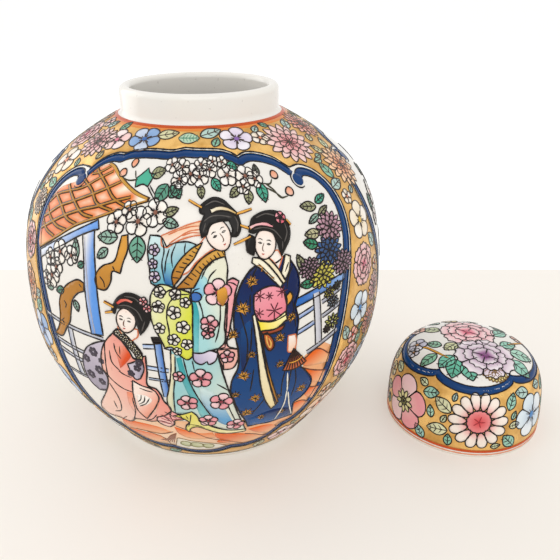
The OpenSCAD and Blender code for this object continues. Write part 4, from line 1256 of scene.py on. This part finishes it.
def room(points, taken, sizes):
    """The distance from each point to the nearest taken disc, all in millimetres in space."""
    return np.min(np.linalg.norm(points[:, None] - taken[None], axis=2) - sizes, axis=1)


def pack_ground(coat_at, place, near, spots, edge, first, seed, sizes, flower_set, leaf_size, margin):
    """Fills bare ground: flowers by falling size, each at the spot that it fits most closely, then
    leaves in what is left. The flowers in first are set before them. coat_at gives the coat for a
    place round the piece, place and near are its two maps, edge is what they keep clear of, and
    margin is the least gap round a flower, which is less than 0 where they overlap."""
    draw = np.random.default_rng(seed)
    taken, radii = place(edge, np.zeros(len(edge))), np.full(len(edge), 1.3)
    space = place(spots, np.zeros(len(spots)))
    gap = room(space, taken, radii)

    def take(centre, size):
        nonlocal gap
        gap = np.minimum(gap, np.linalg.norm(space - centre, axis=1) - size)

    for u, v, size, kind in first:
        coat = coat_at(u)
        coat.place = near(u)
        flower_set(coat, v, size, kind)
        take(place(np.array([(u, v)]), np.zeros(1))[0], size)
    for size in sizes:
        for _ in range(len(spots)):
            i = int(np.argmin(np.where(gap > size + margin, gap, np.inf)))
            if gap[i] <= size + margin:
                break
            coat = coat_at(spots[i, 0])
            coat.place = near(spots[i, 0])
            flower_set(coat, spots[i, 1], size, int(draw.integers(0, 60)))
            take(space[i], size)
    tints = [rgb(code) for code in ("b4dcc4", "d8e2b8", "93cbb0", "e2e0b4", "bfdcd4")]
    for i in np.argsort(-gap)[:LEAF_TRIES]:
        if gap[i] < LEAF_ROOM:
            continue
        length = min(leaf_size, gap[i] * 3.1)
        turn = draw.uniform(0, 180)
        coat = coat_at(spots[i, 0])
        coat.place = near(spots[i, 0])
        c, s = math.cos(math.radians(turn)) * length / 2, math.sin(math.radians(turn)) * length / 2
        tint = tints[int(draw.integers(0, 5))]
        leaf(coat, -c, spots[i, 1] - s, turn, length, length * 0.62, tint, 2.4, tint * 0.8, 2)
        take(space[i], length * 0.42)


FLOWER_TINTS = [(PINK_PALE, rgb("e0566a")), (SHELL, rgb("e8906a")), (BLUE_PALE, rgb("3d6bb0")),
                (PEACH_PALE, rgb("e2622c")), (rgb("e9dff0"), rgb("8c66b0")), (SHELL, rgb("d9b23c")),
                (rgb("f4b8a8"), rgb("d8483c")), (rgb("f0e2a8"), rgb("c98a2a")), (PINK_PALE, rgb("d9748c")),
                (rgb("dbe8f0"), rgb("4f86c0"))]
hand_set = [(-37, 94.8, 7.2, 2), (38, 94.8, 7.2, 14), (80, 87.5, 12.4, 0), (-80, 88, 9.5, 18),
            (108, 67, 11.4, 3), (95.5, 42, 8.8, 5), (92, 22, 9.8, 28), (88, 2, 8.8, 29), (82, -24, 9.6, 10),
            (-62, 92, 6.6, 8), (100, -10, 7.6, 6), (-92, 52, 6.5, 21), (-92, 34, 8.4, 10),
            (-92, 14, 9.0, 13), (58, 93.5, 4.2, 11)]
panel_rims = [PANEL_EDGE[::2] * (squeeze, 1) + (math.radians(bearing) * BELLY_R, 0) for bearing,
              squeeze in PANELS]
panel_rims.append(PANEL_EDGE[::2] * (SIDE_PANEL_SHRINK, 1)
                  + (-math.radians(PANEL_PITCH) * BELLY_R + 2 * half_round, 0))
ring_row = ring_u[::2]
long_leaf = np.vstack([np.c_[np.linspace(-8, 8, 9), np.full(9, v)] for v in (94.6, 98.4)])
ring_rows = [np.c_[ring_row, np.full(len(ring_row), v)] for v in (side_run[-1] - 0.5, side_run[0] + 1.5)]
rims = np.vstack([*panel_rims, long_leaf, *ring_rows])
SPOT_COUNT = 5200
rng = np.random.default_rng(3)
spots = np.c_[rng.uniform(-half_round, half_round, SPOT_COUNT),
              rng.uniform(side_run[0] + 4, side_run[-1] - 3, SPOT_COUNT)]
spots = spots[~np.any([within(spots, [rim]) for rim in panel_rims], axis=0)]
piers = {name: Coat(on_jar) for name in ("right", "back", "left")}
for ground in piers.values():
    ground.ink = rgb("43342a")


def pier_at(u):
    """The coat of the pier that u lies in: right of the front panel, left of it, or the back."""
    turn = u / half_round
    return piers["right" if 0 <= turn < 2 / 3 else "left" if -2 / 3 <= turn < 0 else "back"]


# The long pale leaf over the middle of the front panel.
ground = piers["right"]
ground.shape(seated(petal_loop(17, 6.4, 0.8, 0.9, 10), -8.5, 96.5), MINT_PALE, 3, 1.5, width=0.38)
ground.line(bow([(-8, 96.5), (7.5, 96.5)], 1.0), rgb("4f8f78"), 4.4, 0.4)
for i in range(5):
    x = -5 + 2.6 * i
    for way in (-1, 1):
        ground.line(bow([(x, 96.5), (x + 1.6, 96.5 + way * 2)], 0.8), rgb("4f8f78"), 4.3, 0.3)
flower_sizes = (11.4, 9.6, 8.0, 6.6, 5.4, 4.4, 3.6)
pack_ground(pier_at, on_jar, beside, spots, rims, hand_set, 8, flower_sizes, flower, 9.5, -0.35)
for name, ground in piers.items():
    ground.fire("flower_ground_" + name, enamel, "jar", "enamel")

# ---------------------------------------------------------------- The two side panels
# The panels on the far sides hold no figures: a bough with two birds over garden rocks and peonies,
# in the same enamels, and the same scene the other way round.


def bird(coat, x, y, way, size, back, breast):
    """A small bird on a bough, size times as large as its outlines and facing way: tail, body, wing,
    beak, eye and feet."""
    def part(text, colour, end_colour, level):
        loop = drawn(text) * (way * size, size) + (x, y)
        coat.shape(loop, wash(colour, end_colour, loop.max(0), loop.min(0)), level, 1.5)
    part("-6,-1! -12,-6 -18,-13.4! -15,-13 -9,-8.6 -3,-4!", back * 0.7, back, 6)
    part("-7,-1! -4,3.4 1,6.6 5,9.4 9.4,9.6 11.6,7 10.8,3.6 7.4,0 3,-3.6 -2,-4.4 -6,-3.4", back, breast,
         6.6)
    part("-5,0! -1,3.6 5,4 3,-0.6 -2,-2.6 -9,-5.6!", back * 0.8, rgb("f0e6c8"), 8)
    part("11.4,8! 14.4,7 11.6,6!", rgb("e0902c"), rgb("b06a1c"), 7)
    coat.fill(seated(disc(0.8), x + way * 8.6 * size, y + 7 * size), INK, 9, 1.0)
    for reach in (-2.5, 0, 2.5):
        coat.line(bow([(x + way * (reach - 1) * size, y - 1.6 * size),
                       (x + way * (reach + 2) * size, y + 1.6 * size)], 0.8), INK, 9.4, 0.36)


for name, bearing, way, tint, wing in (("right_panel_garden", PANEL_PITCH, 1, (ROSE, rgb("c23a56")),
        rgb("3f74b8")), ("left_panel_garden", -PANEL_PITCH, -1, (PEACH_PALE, rgb("d9542c")),
                         rgb("4f9e86"))):
    garden = Coat(on_jar, math.radians(bearing) * BELLY_R, SIDE_PANEL_SHRINK)
    meadow = drawn(PANEL_FOOT + " 58,-43! 40,-38 20,-43 0,-40 -24,-46 -40,-42")
    garden.shape(meadow * (way, 1), wash(rgb("c9d8a0"), rgb("f3e3b4"), (0, -40), (0, -72)), 1, 3.0)
    for text, top, foot in (("-52,-34! -50,-22 -44,-16 -36,-18 -32,-10 -24,-8 -18,-16 -14,-26 -12,-40!"
                             " -24,-47 -40,-44", "7fa6c9", "3c5f88"),
                            ("-30,-44! -26,-34 -18,-30 -10,-33 -4,-44 -6,-52! -18,-55", "a9bfa0", "5f8a72"),
                            ("26,-44! 30,-34 38,-28 46,-32 52,-42! 44,-50 34,-51", "8fb0c9", "46698f")):
        garden.shape(drawn(text) * (way, 1), wash(rgb(top), rgb(foot), (0, -12), (0, -50)), 3, 2.4,
                     width=0.7)
    for text in ("-46,-20 -42,-30 -44,-42", "-34,-14 -30,-26 -34,-42", "-22,-12 -20,-24 -24,-32",
                 "-18,-34 -14,-44", "36,-32 38,-44", "46,-36 44,-46"):
        garden.line(drawn(text, False) * (way, 1), INK, 4.6, 0.5)
    bough = drawn("-46,-22! -50,-4 -44,14 -50,32 -42,48 -26,58 -6,60 14,66 34,64 46,68! 48,65! 36,59.6"
                  " 16,60.4 -2,54 -20,52 -34,42 -40,30 -35,14 -40,-4 -36,-20!")
    garden.shape(bough * (way, 1), wash(BARK, rgb("9a6326"), (-30, 50), (-45, -10)), 4, 2.4, width=0.7)
    for text in ("-6,56 2,44 14,36 30,34", "-38,36 -56,44 -66,40", "-42,8 -26,2 -14,6",
                 "14,63 24,74 38,76"):
        garden.line(drawn(text, False) * (way, 1), UMBER, 4, 1.8, taper=0.4)
    for x, y, size in ((-30, 62, 6), (-44, 52, 5.4), (-60, 46, 6.4), (-68, 36, 4.6), (-10, 66, 5.6),
                       (6, 70, 6.4), (24, 68, 5.6), (36, 72, 6.2), (48, 60, 5.6), (4, 48, 5.4),
                       (32, 38, 5.8), (20, 34, 4.6), (-18, 8, 5.4), (-28, -2, 4.8), (-52, 20, 5.6),
                       (40, 52, 4.4)):
        blossom(garden, x * way, y, size, BLOSSOM, tint[1], 5.4, x * 7 % 72)
    draw = np.random.default_rng(21)
    for x, y in ((-22, 66), (-50, 60), (-70, 48), (-2, 74), (16, 76), (44, 74), (58, 54), (10, 40),
                 (40, 36), (-10, 12), (-60, 12), (-34, 24), (28, 58), (20, 26), (-28, 44), (-12, 46)):
        leaf(garden, x * way, y, draw.uniform(0, 360), 8.6, 5.2, GREEN if x % 3 else OLIVE, 4.6)
    for x, y, size in ((6, -34, 14), (32, -20, 12), (-6, -10, 11), (54, -6, 8.5)):
        for turn in (20, 100, 165, 230, 310):
            c, s = math.cos(math.radians(turn)), math.sin(math.radians(turn))
            leaf(garden, x * way + c * size * 0.7, y + s * size * 0.7, turn, size * 0.95, size * 0.52, TEAL
                 if turn % 20 else GREEN, 4.2)
        peony(garden, x * way, y, size, tint[0], tint[1], 5.6, x)
    for text in ("6,-48 4,-56", "32,-32 28,-46", "-6,-20 -4,-38", "54,-14 46,-34 40,-44"):
        garden.line(drawn(text, False) * (way, 1), rgb("3f6b4a"), 3.4, 1.1)
    bird(garden, 4 * way, 22, way, 1.15, wing, rgb("e9b48a"))
    bird(garden, -8 * way, 32, -way, 0.8501, rgb("6a86b8"), rgb("f0d8b8"))
    garden.fire(name, enamel, "jar", "enamel")

# ---------------------------------------------------------------- The lid's enamels
# Gold and flowers on the lid's side, a cobalt frame of five lobes round its shoulder, and peonies
# on the white crown inside the frame. A red line runs round it just above the bare rim.
LID_LOBES, LOBE_MIDDLE, LID_BAND = 5, -6.0, 3.8
lid_edge = np.vstack([[(lid_r, RIM_BEVEL)], lid_outside])
lid_run = np.r_[0, np.cumsum(np.linalg.norm(np.diff(lid_edge, axis=0), axis=1))]
lid_out = -left_of(lid_edge)
lid_half = np.pi * lid_r


def on_lid(uv, out):
    """Points on the outside of the lid. u is millimetres round its side from the front and v is
    millimetres up the wall from the rim."""
    r = np.interp(uv[:, 1], lid_run, lid_edge[:, 0]) + out * np.interp(uv[:, 1], lid_run, lid_out[:, 0])
    z = np.interp(uv[:, 1], lid_run, lid_edge[:, 1]) + out * np.interp(uv[:, 1], lid_run, lid_out[:, 1])
    a = uv[:, 0] / lid_r - np.pi / 2
    return np.c_[lid_axis[0] + r * np.cos(a), lid_axis[1] + r * np.sin(a), z]


def on_crown(xy, out):
    """Points on the crown. The distance of x, y from the middle is the way down the wall from the
    apex, and its angle is the angle round the lid."""
    v = lid_run[-1] - np.hypot(xy[:, 0], xy[:, 1])
    a = np.arctan2(xy[:, 1], xy[:, 0])
    return on_lid(np.c_[(a + np.pi / 2) * lid_r, v], out)


def beside_lid(hub):
    """The same as beside, for the lid."""
    return lambda xv, out: on_lid(xv + (hub, 0), out)


def lobes(u, fall=0.0):
    """The height of the frame at u: 41.5 - 5 cos(pi t)^0.6, with t the place in the lobe from
    -1/2 to 1/2, so that the lobes meet in cusps."""
    t = (u - LOBE_MIDDLE) * LID_LOBES / (2 * lid_half)
    t = t - np.round(t)
    return 41.5 - 5.0 * np.maximum(np.cos(np.pi * t), 0) ** 0.6 - fall


LID_STEPS, GILT_FOOT = 300, 3.6
lid_round = LOBE_MIDDLE + np.linspace(-lid_half, lid_half, LID_STEPS + 1)
lid_u = lid_round[:-1]
lid_gilt = Coat(on_lid)
end_u = lid_u[0] + 2 * lid_half
back_round = np.r_[lid_u, end_u][::-1]
end_top, start_top = lobes(end_u, LID_BAND / 2), lobes(lid_u[0], LID_BAND / 2)
gilt_loop = np.vstack([np.c_[lid_u, np.full(LID_STEPS, GILT_FOOT)],
                       bow([(end_u, GILT_FOOT), (end_u, end_top)], 2.0)[:-1],
                       np.c_[back_round, lobes(back_round, LID_BAND / 2)],
                       bow([(lid_u[0], start_top), (lid_u[0], GILT_FOOT)], 2.0)[1:-1]])
lid_gilt.fill(gilt_loop, rgb("ffffff"), 1, 1.3)
lid_gilt.fire("lid_gilding", gilding, "lid", "gilding")
lid_frame, lid_lines = Coat(on_lid), Coat(on_lid)
lid_frame.line(np.c_[lid_round, lobes(lid_round)], COBALT, 2, LID_BAND, taper=1, edge=0.97)
lid_frame.fire("lid_frame", cobalt, "lid", "cobalt")
for rise in (-LID_BAND / 2 - 0.1, LID_BAND / 2 + 0.1):
    lid_lines.line(np.c_[lid_round, lobes(lid_round, -rise)], INK, 3, 0.42, taper=1)
for v, width, colour in ((3.0, 1.5, IRON_RED), (1.2, 0.6, rgb("e39a78"))):
    lid_lines.line(np.c_[lid_round, np.full(LID_STEPS + 1, v)], colour, 3, width, taper=1)
lid_lines.fire("lid_lines", enamel, "lid", "enamel")


DAISY, OPEN_PINK, LEAVES = 100, 101, 200


def lid_flower(coat, y, size, kind):
    """One flower of the lid's side: the big daisy, the open pink one, a leaf that points at kind - 200
    degrees, or one of the ground's flowers."""
    if kind == DAISY:
        daisy(coat, 0, y, size, rgb("f7ebe0"), rgb("ee8f90"), 3, 14)
    elif kind == OPEN_PINK:
        blossom(coat, 0, y, size, rgb("f0a3aa"), rgb("fffbe8"), 3, 18, 5, 0.5)
        for i in range(9):
            coat.shape(seated(petal_loop(size * 0.42, size * 0.17, 0.5, 1.2, 7), 0, y, 40 * i),
                       rgb("e3dfa4"), 5.4, 1.4, width=0.34)
        coat.shape(seated(disc(size * 0.15), 0, y), rgb("cfd67a"), 6.4, 1.2, width=0.34)
    elif kind >= LEAVES:
        c, s = math.cos(math.radians(kind - LEAVES)) * size, math.sin(math.radians(kind - LEAVES)) * size
        tint = rgb(("a9d8cc", "e4e6bc", "a4d8c4")[kind % 3])
        leaf(coat, -c, y - s, kind - LEAVES, size * 2, size * 1.3, tint, 2.4)
    else:
        flower(coat, y, size, kind)


lid_ring = np.c_[lid_u, np.full(LID_STEPS, 3.4)]
lid_rim = np.vstack([lid_ring, np.c_[lid_u, lobes(lid_u, LID_BAND / 2 - 0.8)]])
rng = np.random.default_rng(6)
LID_SPOT_COUNT = 1500
lid_spots = np.c_[rng.uniform(-lid_half, lid_half, LID_SPOT_COUNT), rng.uniform(6, 37, LID_SPOT_COUNT)]
lid_spots = lid_spots[lid_spots[:, 1] < lobes(lid_spots[:, 0], 3)]
lid_ground = Coat(on_lid)
lid_set = [(-3.2, 20.6, 15.4, DAISY), (-45.6, 17.6, 15.2, OPEN_PINK), (29.4, 18.4, 12.2, 29),
           (62, 19.5, 12, 1), (96, 19.5, 13, DAISY), (-81, 19, 12, 10), (-113, 20, 12, 0),
           (-30, 30.4, 4.6, 215), (-22.2, 26.4, 5.4, 349), (-23.4, 12.4, 5.4, 388), (14.6, 30, 4.6, 263),
           (16.4, 17, 3.2, 202), (13.8, 8.2, 5.0, 332), (-32.6, 6.8, 4.2, 330), (46, 29, 4.4, 230),
           (46, 9, 4.2, 300), (79, 30, 4.4, 250), (79, 9, 4.2, 350)]
pack_ground(lambda u: lid_ground, on_lid, beside_lid, lid_spots, lid_rim, lid_set, 4, (5.4, 4.2),
            lid_flower, 11, 0.1)
lid_ground.fire("lid_flower_ground", enamel, "lid", "enamel")

crown = Coat(on_crown)
for text in ("-30,-1 -25,-3 -20,-9 -15,-15", "30,4 24,0 19,-3"):
    crown.line(drawn(text, False), UMBER, 3, 2.0, taper=0.4)
    crown.line(drawn(text, False), rgb("cf9430"), 4, 1.3, taper=0.4)
for x, y, turn, length, width, colour in ((-12, -14, 215, 11, 8, rgb("7fd0b6")),
        (-11, -17, 245, 12, 9, rgb("6fc9ac")), (-7, -19, 275, 12, 9, rgb("7fd0b6")),
        (16, -17, -35, 13, 9, rgb("a4dcc8")), (18, -10, -5, 13, 9, rgb("b4e0cc")),
        (15, -5, 25, 10, 7, rgb("a4dcc8")), (-20, -11, 205, 11, 6.4, rgb("8cc4a4")),
        (-16, -4, 150, 8, 6, rgb("9cccb0")), (-8, -3, 215, 9, 7, rgb("e0e2b4")),
        (-5, -5, 235, 8, 6, rgb("e0e2b4")), (14, 6, 40, 12, 8, rgb("a4dcc8")),
        (-13, 12, 150, 11, 7, rgb("d4deb8")), (-12, 22, 110, 9, 6, SAGE), (8, 24, 70, 10, 6, GREEN),
        (18, 16, 30, 10, 6, SAGE)):
    leaf(crown, x, y, turn, length, width, colour, 3)
for i in range(10):
    crown.shape(seated(petal_loop(7.4, 3.2, 0.7, 0.9, 8), 6, -24.4, -165 + 15 * i), rgb("ecdf9c"),
                3.6 + 0.2 * (i % 2), 1.4, rgb("7a5a2c"), 0.34)
peony(crown, 1, 9, 14.6, rgb("fadfe0"), rgb("e4788e"), 4, 10)
peony(crown, 4, -14.5, 15.2, rgb("f4ebf0"), rgb("93508c"), 5, 20)
for x, y, size, colour in ((-28, 1, 5.4, rgb("c9c8da")), (-31, -4, 3.4, rgb("cfcbd6")),
                           (29, 8, 4.2, rgb("f0b9a8")), (-4, 28, 4.6, rgb("f0dca0")),
                           (22, 22, 4.2, rgb("b9b8cc")), (-24, 18, 4.4, rgb("f0b9a8"))):
    blossom(crown, x, y, size, colour, rgb("a8743a"), 4.4, x * 11 % 72, 5, 0.36)
crown.fire("lid_crown_flowers", enamel, "lid", "enamel")
